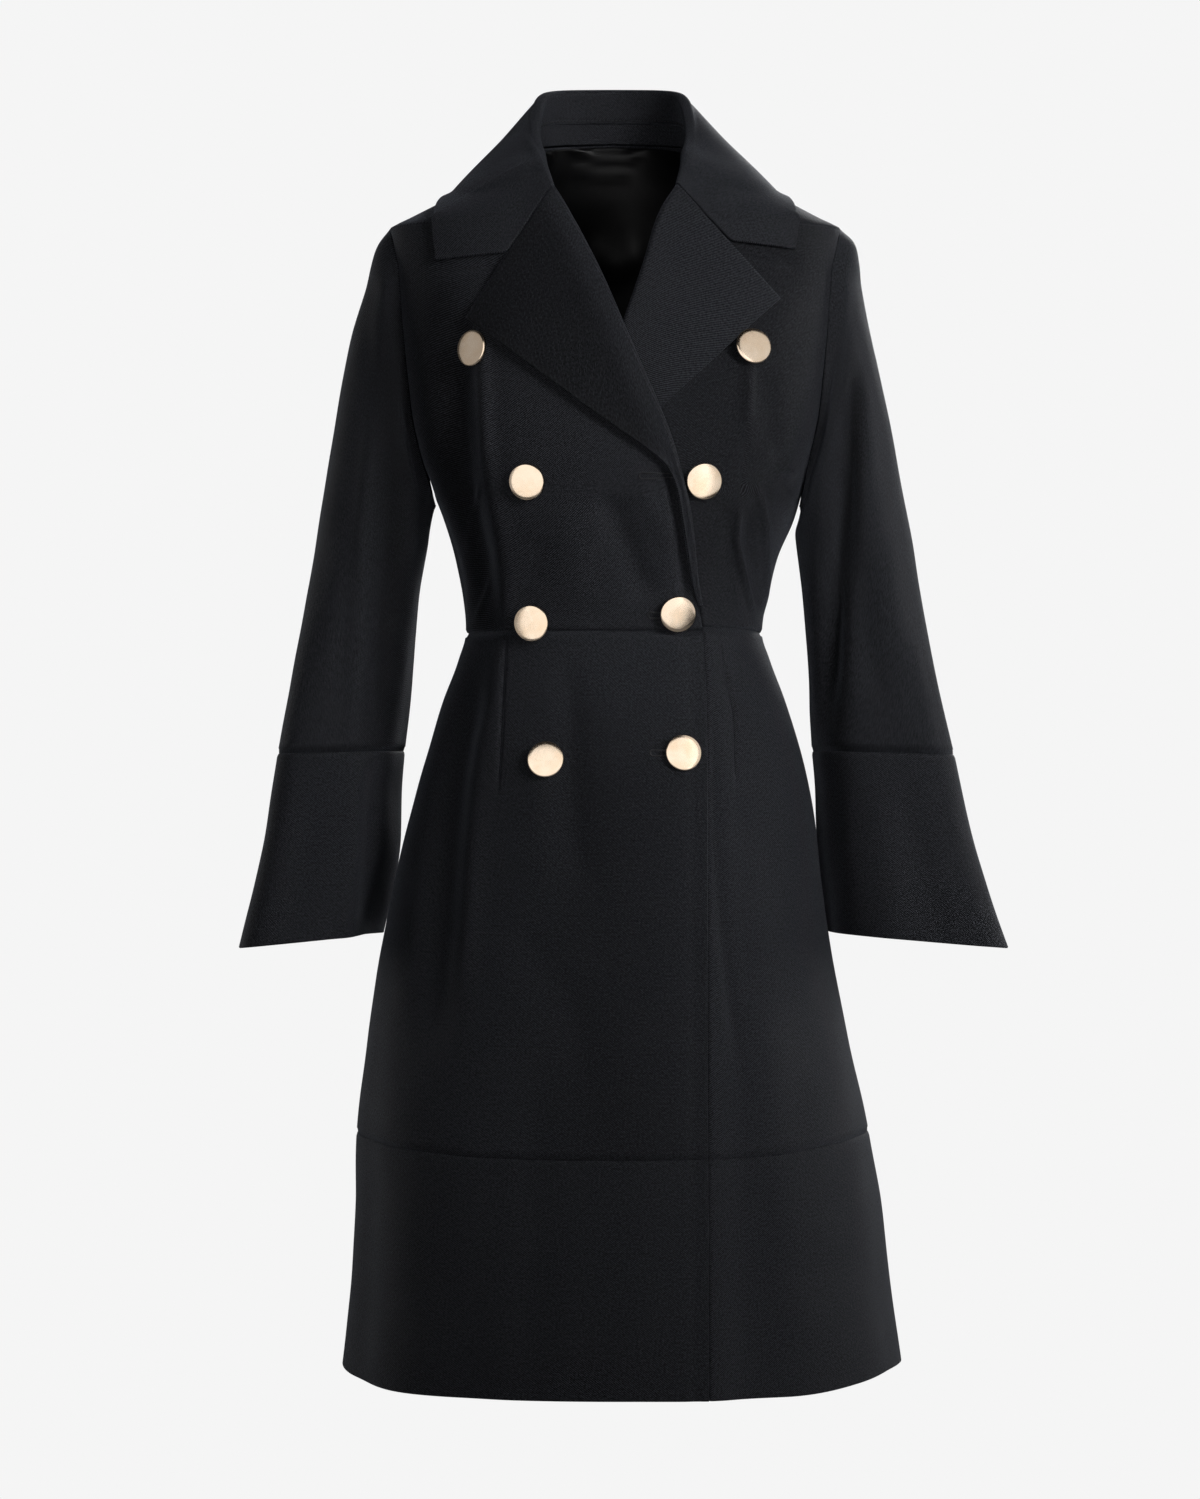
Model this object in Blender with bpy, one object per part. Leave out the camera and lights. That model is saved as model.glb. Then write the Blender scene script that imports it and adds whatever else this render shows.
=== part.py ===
"""Fitted double-breasted coat with a waist seam, a flared skirt, a deep hem band and bell cuffs."""
import bmesh
import bpy
import numpy as np

# Every size is in millimetres, and a drop is measured down from the shoulder seam at the neck
METRES = 0.001

# Cloth thickness, lining thickness and the space kept between two pieces at a seam
WALL = 2.0
LINING_WALL = 1.0
SEAM = 0.3
STAND_SEAM = 1.2
SLEEVE_SEAM = 1.4
UNDERARM_EASE = 3.0
LINING_LIFT = -4.5

# Levels of the long seams at the sides and back
WAIST_DROP = 410.0
BAND_DROP = 836.5
HEM_DROP = 1034.0
SIDE_ANGLE = 94.0

# Levels of the long seams round the front, by the angle from the centre front
WAIST_SEAM = {
    "right": (("angle", "drop"), (-94, 410), (40, 410)),
    "left": (("angle", "drop"), (-40, 406.5), (35, 406.5), (94, 410)),
}
BAND_SEAM = (
    ("angle", "drop"),
    (-94, 836.5),
    (-80, 838),
    (-53, 842),
    (-28, 847),
    (0, 848),
    (34, 847),
    (54, 840),
    (80, 837),
    (94, 836.5),
)
HEM_SEAM = (
    ("angle", "drop"),
    (-94, 1034),
    (-72, 1040),
    (-45, 1042.3),
    (0, 1041),
    (35, 1042.5),
    (55, 1038),
    (72, 1034.5),
    (94, 1034),
)

# How far the right front stands off where it laps over the left front and over its lapel
LAP_LIFT = 3.2
LAP_START = -130.0
LAP_FULL = -80.0
LAP_TOP = 80.0
LAP_TOP_FULL = 150.0
UNDERLAP_LIFT = 7.0
UNDERLAP_CENTRE = (0.0, 200.0)
UNDERLAP_SPREAD = (60.0, 95.0)

# Lapels and collar
LAPEL_EDGE_LIFT = 2.9
COLLAR_ROLL = 4.0
COLLAR_LEG = 1.5
COLLAR_BULGE = 7.0
COLLAR_LIFT = 4.4
COLLAR_STEPS = 14
STAND_STEP = 3
GORGE_DROP = 39.0
GORGE_GAP = 3.2

# Buttons
BUTTON_RADIUS = 15.4
BUTTON_HEIGHT = 4.6
BUTTON_SIDES = 20

# The figure that the cloth follows, one row for each level
FIGURE = (
    ("drop", "half_width", "front", "back", "front_square", "back_square", "shift"),
    (-60, 60.0, 42, 57, 2.2, 2.2, -2.5),
    (-20, 66.0, 46, 62, 2.2, 2.2, -2.5),
    (0, 76.0, 50, 64.5, 2.2, 2.2, -2),
    (20, 107.5, 60, 68, 2.2, 2.2, -1),
    (32, 129.5, 66, 71, 2.2, 2.2, 0),
    (40, 147.0, 70, 73.5, 2.2, 2.2, 0),
    (58, 182.0, 79, 79, 2.3, 2.2, 0),
    (63, 192.5, 81, 80.5, 2.3, 2.2, 0),
    (80, 193.0, 88, 86, 2.4, 2.2, 0),
    (102, 191.5, 96, 92, 2.5, 2.3, 0),
    (156, 187.0, 112, 100, 2.6, 2.4, 0),
    (195, 183.0, 119, 103, 2.6, 2.4, 0),
    (224, 178.5, 122, 103, 2.6, 2.4, 0),
    (260, 168.0, 123, 101, 2.6, 2.4, 0),
    (285, 159.0, 121, 99, 2.5, 2.4, 1.5),
    (312, 149.8, 117, 95, 2.5, 2.3, 2.7),
    (346, 137.5, 109, 89, 2.4, 2.3, 1),
    (381, 130.0, 101, 83, 2.3, 2.2, 0),
    (410, 126.3, 96, 80, 2.3, 2.2, -1),
    (433, 133.0, 98, 85, 2.3, 2.2, -1),
    (467, 146.0, 104, 97, 2.2, 2.2, -1),
    (501, 156.5, 110, 108, 2.2, 2.2, -1),
    (553, 170.0, 119, 120, 2.2, 2.2, -2),
    (620, 182.0, 131, 133, 2.2, 2.2, -6),
    (690, 194.0, 143, 145, 2.1, 2.1, -8),
    (760, 206.0, 155, 156, 2.1, 2.1, -6),
    (838, 219.0, 168, 168, 2.1, 2.1, -2),
    (900, 225.0, 178, 177, 2.1, 2.1, 3),
    (966, 230.5, 188, 186, 2.0, 2.0, 5),
    (1041, 240.0, 200, 196, 2.0, 2.0, 6),
)

# Soft flares of the skirt, full at the hem and gone a little below the waist
FLARE_TOP = 540.0
FLARES = (
    ("angle", "spread", "height"),
    (-46, 14, 8.5),
    (-68, 9, -3.0),
    (28, 8, -4.5),
    (48, 13, 2.5),
    (74, 9, -2.5),
    (112, 11, -4.0),
    (136, 12, 5.5),
    (160, 10, -4.0),
    (182, 13, 5.5),
    (204, 10, -4.0),
    (228, 12, 5.5),
    (250, 11, -4.0),
)

# Neck seam on the figure from the centre back to the gorge, and the armhole edges of front and back
NECK = (
    ("angle", "drop"),
    (22, 39),
    (37, 17),
    (57, 5),
    (90, 0),
    (105, -7),
    (120, -13),
    (150, -18),
    (180, -20),
)
NECK_FRONT = (("drop", "angle"), (0, 90), (5, 60), (17, 40), (39, 24.5))
ARMHOLE_TOP = 63.0
ARMHOLE_FOOT = 300.0
ARMHOLE = (
    ("drop", "front", "back"),
    (0, 90, 90),
    (63, 90, 90),
    (66, 82, 97),
    (72, 76.5, 103),
    (80, 72.7, 107),
    (102, 67.3, 113),
    (156, 66, 117),
    (195, 66, 117),
    (224, 67.3, 116),
    (260, 70.8, 111),
    (285, 78.6, 102),
    (300, 94, 94),
    (410, 94, 94),
)

# Front edges: the roll line of the lapel above, the closing edge below
FRONT_EDGE = (
    ("drop", "right", "left"),
    (39, -54, 53.5),
    (64, -40, 39),
    (107, -18.5, 25.5),
    (153, 0.7, 9),
    (194, 18.5, -6.5),
    (224, 32, -18),
    (250, 42.3, -27.5),
    (267, 47.8, -33),
    (287, 53.5, -41),
    (305, 58, -48.5),
    (327, 61.5, -56),
    (363, 65, -64),
    (388, 68.8, -68),
    (410, 71.5, -71),
    (502, 75.6, -75),
    (1041, 75.1, -75),
)
LAPEL_ROLL = (
    ("drop", "right", "left"),
    (39, 4.0, 4.0),
    (107, 4.0, 3.2),
    (153, 3.8, 2.2),
    (250, 3.0, 1.6),
    (280, 2.4, 1.6),
    (318, 1.9, 1.6),
    (380, 1.6, 1.6),
)
LAPEL_FOOT = {"right": 368.0, "left": 265.3}
LAPEL_OUTLINE = {
    "right": (
        ("roll_drop", "x", "drop"),
        (39, -124.3, 148.1),
        (80, -96.4, 170.2),
        (150, -46.2, 209.0),
        (205, -2.0, 240.8),
        (235, 20.0, 256.0),
        (255, 33.0, 265.0),
        (272, 42.0, 273.5),
        (285, 47.6, 285.0),
        (300, 51.6, 300.0),
        (330, 56.7, 330.0),
        (368, 60.2, 368.0),
    ),
    "left": (
        ("roll_drop", "x", "drop"),
        (39, 137.4, 131.3),
        (85, 104.1, 162.5),
        (140, 70.4, 194.5),
        (195, 39.5, 223.0),
        (276, -27.0, 277.0),
    ),
}
COLLAR_END = {
    "right": (("part", "x", "drop"), (0, -54.0, 39), (0.5, -90.0, 91.0), (1, -149.5, 98.0)),
    "left": (("part", "x", "drop"), (0, 53.5, 39), (0.5, 96.5, 82.0), (1, 150.0, 89.0)),
}

# Collar sections of one half, from the centre back towards the gorge
COLLAR = (
    ("place", "angle", "stand", "rise", "lean", "tilt", "edge_x", "edge_y", "edge_z"),
    (0, 180, 0.53, 41.5, 8, 0, 0, 83, -44),
    (1, 140, 0.55, 42.5, 8, 0, 80, 77, -46),
    (2, 115, 0.53, 42.5, 7, 0, 119, 56, -44),
    (3, 90, 0.46, 27, 13, 12, 137, 8, -34),
    (4, 57, 0.50, 2.5, 11, 45, 150, -32, -48),
    (5, 37, 0.50, 0, 5, 68, 151, -52, -68),
)

# Sleeves and cuffs, seen as an outer and an inner line with a depth between them
SLEEVE = {
    "right": (
        ("part", "outer_x", "outer_drop", "inner_x", "inner_drop", "middle_y", "half_depth", "turn"),
        (0, 193.0, 63, 156.5, 300, 0, 50, 0.00),
        (1, 204.0, 78, 158.3, 306, 0, 52, 0.00),
        (2, 212.5, 110, 159.2, 313, 0, 55, 0.00),
        (3, 225.6, 157, 160.2, 321, 0, 57, 0.00),
        (4, 238.8, 226, 161.7, 333, 0, 58, 0.00),
        (5, 250.2, 295, 165.0, 351, 1, 57, 0.00),
        (6, 260.0, 355, 169.0, 374, 3, 55, 0.04),
        (7, 269.0, 408, 172.7, 410, 6, 54, 0.10),
        (8, 278.0, 458, 177.0, 458, 10, 53, 0.18),
        (9, 288.6, 513, 183.0, 511, 14, 53, 0.24),
    ),
    "left": (
        ("part", "outer_x", "outer_drop", "inner_x", "inner_drop", "middle_y", "half_depth", "turn"),
        (0, 193.0, 63, 156.5, 300, 0, 50, 0.00),
        (1, 206.0, 77, 158.0, 307, 0, 52, 0.00),
        (2, 211.0, 110, 156.6, 315, 0, 55, 0.00),
        (3, 219.6, 157, 155.8, 323, 0, 57, 0.00),
        (4, 234.2, 226, 157.2, 336, 0, 58, 0.00),
        (5, 247.4, 295, 159.7, 354, 1, 57, 0.00),
        (6, 257.6, 351, 163.0, 376, 3, 55, 0.03),
        (7, 267.2, 408, 166.7, 410, 6, 54, 0.06),
        (8, 276.9, 458, 170.3, 458, 10, 53, 0.10),
        (9, 290.4, 514, 171.5, 511, 14, 53, 0.14),
    ),
}
CUFF = {
    "right": (
        ("part", "outer_x", "outer_drop", "inner_x", "inner_drop", "middle_y", "half_depth", "turn"),
        (0, 288.6, 513, 183.0, 511, 14, 53, 0.24),
        (1, 294.6, 553, 186.0, 549, 15, 54, 0.25),
        (2, 300.0, 588, 186.7, 584, 16, 56, 0.25),
        (3, 310.0, 632, 191.6, 624, 17, 59, 0.25),
        (4, 321.5, 680, 202.0, 669, 18, 62, 0.25),
    ),
    "left": (
        ("part", "outer_x", "outer_drop", "inner_x", "inner_drop", "middle_y", "half_depth", "turn"),
        (0, 290.4, 514, 171.5, 511, 14, 53, 0.14),
        (1, 298.5, 553, 174.8, 549, 15, 54, 0.15),
        (2, 307.0, 588, 176.0, 584, 16, 56, 0.16),
        (3, 320.5, 634, 179.6, 625, 17, 59, 0.17),
        (4, 337.0, 680, 185.6, 667.5, 18, 62, 0.18),
    ),
}
SLEEVE_SQUARE = (("part", "square"), (0, 2.3), (5, 2.3), (9, 3.0))
CUFF_SQUARE = 3.0
SLEEVE_BLEND = 4.0

# Long soft hollows down the sleeves
SLEEVE_HOLLOWS = {
    "right": (("angle", "spread", "start", "finish", "depth"), (62, 20, 2.0, 6.5, 3.5)),
    "left": (("angle", "spread", "start", "finish", "depth"), (98, 16, 2.5, 9.0, 4.5)),
}

# Buttons by row, with the front that carries each one and its height over the cloth
BUTTONS = (
    ("button_1_right", "right", -117.0, 175.0, 0.8),
    ("button_1_left", "left", 113.5, 173.5, 0.8),
    ("button_2_right", "right", -72.0, 285.5, 0.8),
    ("button_2_left", "left", 73.0, 285.5, 0.8),
    ("button_3_right", "right", -67.0, 402.5, 2.6),
    ("button_3_left", "right", 50.4, 394.4, 2.6),
    ("button_4_right", "right", -56.6, 519.5, 0.8),
    ("button_4_left", "right", 55.5, 513.5, 0.8),
)
BUTTON_PROFILE = (
    ("radius", "height"),
    (0.45, 1.00),
    (0.82, 0.93),
    (0.95, 0.80),
    (1.00, 0.55),
    (0.93, 0.18),
    (0.60, 0.00),
)

# Rows and columns of the cloth grids
NECK_LEVELS = (2, 10, 20, 34, 39, 52)
SIDE_LEVELS = (328, 368, 410)
ARMHOLE_STEPS = 12
LINING_LEVELS = (2, 6, 13, 24, 40, 59, 90, 140, 200, 260, 300, 350, 404)
SKIRT_ROWS = 9
BAND_ROWS = 5
FRONT_COLUMNS = 15
BACK_COLUMNS = 19
LINING_COLUMNS = 15
SLEEVE_ROWS = 16
CUFF_ROWS = 6


def column(table, name, at):
    """Read a named column of a table as a smooth curve over the first column."""
    rows = np.array(table[1:], float)
    knots = rows[:, 0]
    values = rows[:, table[0].index(name)]
    step = np.diff(knots)
    slope = np.diff(values) / step
    tangent = np.zeros_like(values)
    tangent[0] = slope[0]
    tangent[-1] = slope[-1]
    for row in range(1, len(values) - 1):
        before, after = slope[row - 1], slope[row]
        if before * after > 0:
            near = 2 * step[row] + step[row - 1]
            far = step[row] + 2 * step[row - 1]
            tangent[row] = (near + far) / (near / before + far / after)
    at = np.clip(np.asarray(at, float), knots[0], knots[-1])
    row = np.clip(np.searchsorted(knots, at, side="right") - 1, 0, len(step) - 1)
    part = (at - knots[row]) / step[row]
    blend = part * part * (3 - 2 * part)
    rise = part * (1 - part) ** 2 * tangent[row] - part * part * (1 - part) * tangent[row + 1]
    return values[row] * (1 - blend) + values[row + 1] * blend + rise * step[row]


def ease(value):
    """Turn a straight ramp into one with soft ends."""
    value = np.clip(value, 0.0, 1.0)
    return value * value * (3 - 2 * value)


def unit(vectors):
    """Bring vectors to length one."""
    return vectors / np.maximum(np.linalg.norm(vectors, axis=-1, keepdims=True), 1e-9)


def surface(angle, drop):
    """Point of the figure at an angle from the centre front and at a drop."""
    angle, drop = np.broadcast_arrays(np.asarray(angle, float), np.asarray(drop, float))
    turn = np.radians(angle)
    sine, cosine = np.sin(turn), np.cos(turn)
    ahead = cosine > 0
    depth = np.where(ahead, column(FIGURE, "front", drop), column(FIGURE, "back", drop))
    square = np.where(ahead, column(FIGURE, "front_square", drop), column(FIGURE, "back_square", drop))
    scale = (np.abs(sine) ** square + np.abs(cosine) ** square) ** (-1 / square)
    x = column(FIGURE, "half_width", drop) * scale * sine
    y = -depth * scale * cosine
    flare = np.zeros_like(drop)
    for centre, spread, height in FLARES[1:]:
        away = (angle - centre + 180) % 360 - 180
        flare += height * np.exp(-((away / spread) ** 2))
    reach = 1 + flare * ease((drop - FLARE_TOP) / (HEM_DROP - FLARE_TOP)) / np.hypot(x, y)
    return np.stack([x * reach + column(FIGURE, "shift", drop), y * reach, -drop], axis=-1)


def cloth(angle, drop, lift):
    """Point of a cloth layer that stands off the figure by a lift."""
    across = surface(np.asarray(angle) + 0.4, drop) - surface(np.asarray(angle) - 0.4, drop)
    down = surface(angle, np.asarray(drop) + 0.5) - surface(angle, np.asarray(drop) - 0.5)
    return surface(angle, drop) + unit(np.cross(down, across)) * np.asarray(lift, float)[..., None]


def front_angle(x, drop):
    """Angle at which the front of the figure has a given sideways place."""
    share = (np.asarray(x, float) - column(FIGURE, "shift", drop)) / column(FIGURE, "half_width", drop)
    square = column(FIGURE, "front_square", drop)
    share = np.clip(share, -0.999, 0.999)
    return np.degrees(np.arctan2(share, (1 - np.abs(share) ** square) ** (1 / square)))


def lap_lift(x, drop):
    """Stand-off of the right front over the pieces that lie under it."""
    below = ease((drop - LAP_TOP) / (LAP_TOP_FULL - LAP_TOP))
    lap = ease((x - LAP_START) / (LAP_FULL - LAP_START))
    away_x = (x - UNDERLAP_CENTRE[0]) / UNDERLAP_SPREAD[0]
    away_drop = (drop - UNDERLAP_CENTRE[1]) / UNDERLAP_SPREAD[1]
    under = np.exp(-away_x * away_x - away_drop * away_drop)
    return below * (LAP_LIFT * lap + UNDERLAP_LIFT * under)


def front_lift(side, x, drop):
    """Stand-off of one front panel at a place on it."""
    if side == "right":
        return lap_lift(np.asarray(x, float), np.asarray(drop, float))
    return np.zeros(np.broadcast(x, drop).shape)


def on_front(side, x, drop, lift):
    """Point over a front panel, by its sideways place, its drop and its height over the panel."""
    return cloth(front_angle(x, drop), drop, front_lift(side, x, drop) + lift)


def armhole_levels():
    """Drops of the rows that meet the armhole, closer together at its top and foot."""
    turn = np.linspace(0.0, np.pi, ARMHOLE_STEPS + 1)
    return ARMHOLE_TOP + (ARMHOLE_FOOT - ARMHOLE_TOP) * (1 - np.cos(turn)) / 2


def bodice_levels():
    """Drops of the rows of the bodice from the shoulder to the waist."""
    return np.concatenate([NECK_LEVELS, armhole_levels(), SIDE_LEVELS])


def edge_angle(side, drop):
    """Angle of the free edge of a front panel: neck seam, roll line, then closing edge."""
    sign = -1.0 if side == "right" else 1.0
    neck = sign * column(NECK_FRONT, "angle", drop)
    edge = front_angle(column(FRONT_EDGE, side, drop), drop)
    return np.where(np.asarray(drop) < NECK_FRONT[-1][0], neck, edge)


def trimmed(grid, amounts):
    """Set the first row, last row, first column and last column of a grid back from a seam."""
    grid = grid.copy()
    head, foot, start, end = amounts
    grid[0] += unit(grid[1] - grid[0]) * head
    grid[-1] += unit(grid[-2] - grid[-1]) * foot
    grid[:, 0] += unit(grid[:, 1] - grid[:, 0]) * start
    grid[:, -1] += unit(grid[:, -2] - grid[:, -1]) * end
    return grid


def add_piece(name, vertices, faces, material):
    """Make a named object from points in millimetres."""
    mesh = bpy.data.meshes.new(name)
    mesh.from_pydata((np.asarray(vertices) * METRES).tolist(), [], faces)
    shell = bmesh.new()
    shell.from_mesh(mesh)
    bmesh.ops.recalc_face_normals(shell, faces=shell.faces[:])
    shell.to_mesh(mesh)
    shell.free()
    piece = bpy.data.objects.new(name, mesh)
    bpy.context.scene.collection.objects.link(piece)
    mesh.materials.append(material)
    return piece


def add_sheet(name, outer, inner, material, tube=False):
    """Close two grids of points into one thin-walled piece of cloth."""
    rows, columns = outer.shape[:2]
    span = columns if tube else columns - 1
    under = rows * columns
    faces = []
    for row in range(rows - 1):
        for start in range(span):
            end = (start + 1) % columns
            near, far = row * columns, (row + 1) * columns
            faces.append((near + start, near + end, far + end, far + start))
            faces.append((under + near + start, under + far + start, under + far + end, under + near + end))
    for row in (0, rows - 1):
        for start in range(span):
            end = (start + 1) % columns
            near = row * columns
            faces.append((near + start, under + near + start, under + near + end, near + end))
    if not tube:
        for row in range(rows - 1):
            for side in (0, columns - 1):
                near, far = row * columns + side, (row + 1) * columns + side
                faces.append((near, far, under + far, under + near))
    return add_piece(name, np.concatenate([outer.reshape(-1, 3), inner.reshape(-1, 3)]), faces, material)


def add_panel(name, angle, drop, lift, wall, amounts, material):
    """Make a piece of cloth that follows the figure."""
    outer = trimmed(cloth(angle, drop, lift + wall / 2), amounts)
    inner = trimmed(cloth(angle, drop, lift - wall / 2), amounts)
    return add_sheet(name, outer, inner, material)


def add_free_sheet(name, grid, wall, amounts, material):
    """Make a piece of cloth from its middle surface alone."""
    down = np.gradient(grid, axis=0, edge_order=2)
    across = np.gradient(grid, axis=1, edge_order=2)
    normal = unit(np.cross(down, across))
    outer = trimmed(grid + normal * wall / 2, amounts)
    inner = trimmed(grid - normal * wall / 2, amounts)
    return add_sheet(name, outer, inner, material)


def front_grid(side, top, bottom, rows):
    """Angles and drops of a front panel between two seams."""
    sign = -1.0 if side == "right" else 1.0
    across = np.linspace(0.0, 1.0, FRONT_COLUMNS)[None, :]
    down = np.linspace(0.0, 1.0, rows)[:, None]
    start, end = column(top, "drop", 0.0), column(bottom, "drop", 0.0)
    level = start + (end - start) * down
    edge = front_angle(column(FRONT_EDGE, side, level), level)
    angle = sign * SIDE_ANGLE + (edge - sign * SIDE_ANGLE) * across
    drop = column(top, "drop", angle) * (1 - down) + column(bottom, "drop", angle) * down
    return angle, drop


def back_grid(top, bottom, rows):
    """Angles and drops of a back panel between two levels."""
    angle = np.linspace(SIDE_ANGLE, 360 - SIDE_ANGLE, BACK_COLUMNS)[None, :]
    drop = np.linspace(top, bottom, rows)[:, None]
    return np.broadcast_arrays(angle, drop)


def panel_lift(side, angle, drop):
    """Stand-off of a front panel over a whole grid."""
    return front_lift(side, surface(angle, drop)[..., 0], drop)


def add_front(side, materials):
    """Bodice front, skirt front and hem band of one side."""
    sign = -1.0 if side == "right" else 1.0
    half = (SEAM / 2,) * 4
    drop = bodice_levels()[:, None] * np.ones((1, FRONT_COLUMNS))
    across = np.linspace(0.0, 1.0, FRONT_COLUMNS)[None, :]
    outside = sign * column(ARMHOLE, "front", drop)
    angle = outside + (edge_angle(side, drop) - outside) * across
    drop[-1] = column(WAIST_SEAM[side], "drop", angle[-1])
    lift = panel_lift(side, angle, drop)
    add_panel(side + "_front_bodice", angle, drop, lift, WALL, half, materials["cloth"])
    angle, drop = front_grid(side, WAIST_SEAM[side], BAND_SEAM, SKIRT_ROWS)
    lift = panel_lift(side, angle, drop)
    add_panel(side + "_front_skirt", angle, drop, lift, WALL, half, materials["cloth"])
    angle, drop = front_grid(side, BAND_SEAM, HEM_SEAM, BAND_ROWS)
    lift = panel_lift(side, angle, drop)
    add_panel(side + "_front_hem_band", angle, drop, lift, WALL, half, materials["cloth"])


def back_bodice_grid(levels, columns):
    """Angles and drops of the back bodice, from the shoulders and neck down to the waist."""
    across = np.linspace(0.0, 1.0, columns)[None, :]
    level = np.array(levels, float)[:, None]
    side = column(ARMHOLE, "back", level)
    angle = side + (360 - 2 * side) * across
    turned = np.where(angle > 180, 360 - angle, angle)
    fade = 1 - ease(level / 100)
    return angle, level + column(NECK, "drop", np.maximum(turned, 90)) * fade


def add_back(materials):
    """Bodice back with its lining, skirt back and hem band."""
    half = (SEAM / 2,) * 4
    angle, drop = back_bodice_grid(bodice_levels(), BACK_COLUMNS)
    add_panel("back_bodice", angle, drop, np.zeros_like(drop), WALL, half, materials["cloth"])
    angle, drop = back_bodice_grid(LINING_LEVELS, LINING_COLUMNS)
    lift = np.full_like(drop, LINING_LIFT)
    add_panel("back_lining", angle, drop, lift, LINING_WALL, (1.0, 1.0, 2.0, 2.0), materials["satin"])
    angle, drop = back_grid(WAIST_DROP, BAND_DROP, SKIRT_ROWS)
    add_panel("back_skirt", angle, drop, np.zeros_like(drop), WALL, half, materials["cloth"])
    angle, drop = back_grid(BAND_DROP, HEM_DROP, BAND_ROWS)
    add_panel("back_hem_band", angle, drop, np.zeros_like(drop), WALL, half, materials["cloth"])


def turned_section(side, roll, outline, radius, leg=()):
    """Points of cloth that turns over the edge of a front and lies back on it along an outline."""
    outline = np.asarray(outline, float)
    way = unit(outline[0] - roll)
    points = [(roll + way * reach, 0.0) for reach in leg]
    for step in np.radians([0, 45, 90, 135, 180]):
        place = roll - way * radius * np.sin(step)
        points.append((place, radius * (1 - np.cos(step))))
    length = np.linalg.norm(outline - roll, axis=1).max()
    for place in outline:
        away = np.linalg.norm(place - roll) / length
        points.append((place, LAPEL_EDGE_LIFT + (2 * radius - LAPEL_EDGE_LIFT) * (1 - away) ** 1.5))
    x = np.array([place[0] for place, height in points])
    drop = np.array([place[1] for place, height in points])
    height = np.array([height for place, height in points])
    return on_front(side, x, drop, height)


def add_lapel(side, materials):
    """Lapel of one front, from its roll line to its free edges."""
    levels = bodice_levels()
    foot = LAPEL_FOOT[side]
    levels = np.append(levels[(levels >= GORGE_DROP) & (levels < foot - 5)], foot)
    outline = LAPEL_OUTLINE[side]
    shares = np.linspace(0.0, 1.0, 6)[1:, None]
    sections = []
    for level in levels:
        roll = np.array([column(FRONT_EDGE, side, level), level])
        outer = np.array([column(outline, "x", level), column(outline, "drop", level)])
        radius = column(LAPEL_ROLL, side, level)
        sections.append(turned_section(side, roll, roll + (outer - roll) * shares, radius))
    half = (SEAM / 2,) * 4
    add_free_sheet(side + "_lapel", np.array(sections), WALL, half, materials["cloth"])


def clear_of_figure(points, lift):
    """Move points outward until they stand off the figure by a lift."""
    points = points.copy()
    for attempt in range(4):
        drop = -points[..., 2]
        sideways = points[..., 0] - column(FIGURE, "shift", drop)
        half_width = column(FIGURE, "half_width", drop)
        depth = np.where(points[..., 1] < 0, column(FIGURE, "front", drop), column(FIGURE, "back", drop))
        angle = np.degrees(np.arctan2(sideways / half_width, -points[..., 1] / depth))
        base = surface(angle, drop)
        normal = unit(cloth(angle, drop, np.ones_like(drop)) - base)
        height = ((points - base) * normal).sum(axis=-1)
        points += normal * np.maximum(lift - height, 0.0)[..., None]
    return points


def collar_section(place, sign):
    """Neck seam, stand seam, roll and fall of the collar at one place round the neck."""
    angle, stand, rise, lean, tilt = [column(COLLAR, name, place) for name in COLLAR[0][1:6]]
    edge_x, edge_y, edge_z = [column(COLLAR, name, place) for name in COLLAR[0][6:]]
    neck = surface(sign * angle, column(NECK, "drop", angle))
    inward = unit(np.array([-neck[0], -neck[1], 0.0]))
    up = np.array([0.0, 0.0, 1.0])
    slope = np.radians(tilt)
    onward = up * np.cos(slope) + inward * np.sin(slope)
    outward = up * np.sin(slope) - inward * np.cos(slope)
    turn = neck + up * rise + inward * lean
    points = [neck, neck + (turn - neck) * stand]
    for step in np.radians([0, 45, 90, 135, 180]):
        points.append(turn + COLLAR_ROLL * (outward * (1 - np.cos(step)) + onward * np.sin(step)))
    edge = np.array([sign * edge_x, edge_y, edge_z], float)
    start = points[-1]
    for share in np.linspace(0.0, 1.0, 7)[1:]:
        bulge = COLLAR_BULGE * 4 * share * (1 - share) * unit(up - inward)
        points.append(start + (edge - start) * share + bulge)
    return np.array(points)


def collar_end(side):
    """Front end of the collar along the gorge seam and its short front edge."""
    parts = np.linspace(0.0, 1.0, 7)[1:]
    rows = np.array(COLLAR_END[side][1:], float)
    sideways = np.interp(parts, rows[:, 0], rows[:, 1])
    drop = np.interp(parts, rows[:, 0], rows[:, 2]) - SEAM
    outline = np.stack([sideways, drop], axis=1)
    roll = rows[0, 1:] - np.array([0.0, GORGE_GAP])
    return turned_section(side, roll, outline, COLLAR_ROLL, leg=(COLLAR_LEG,))


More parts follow.
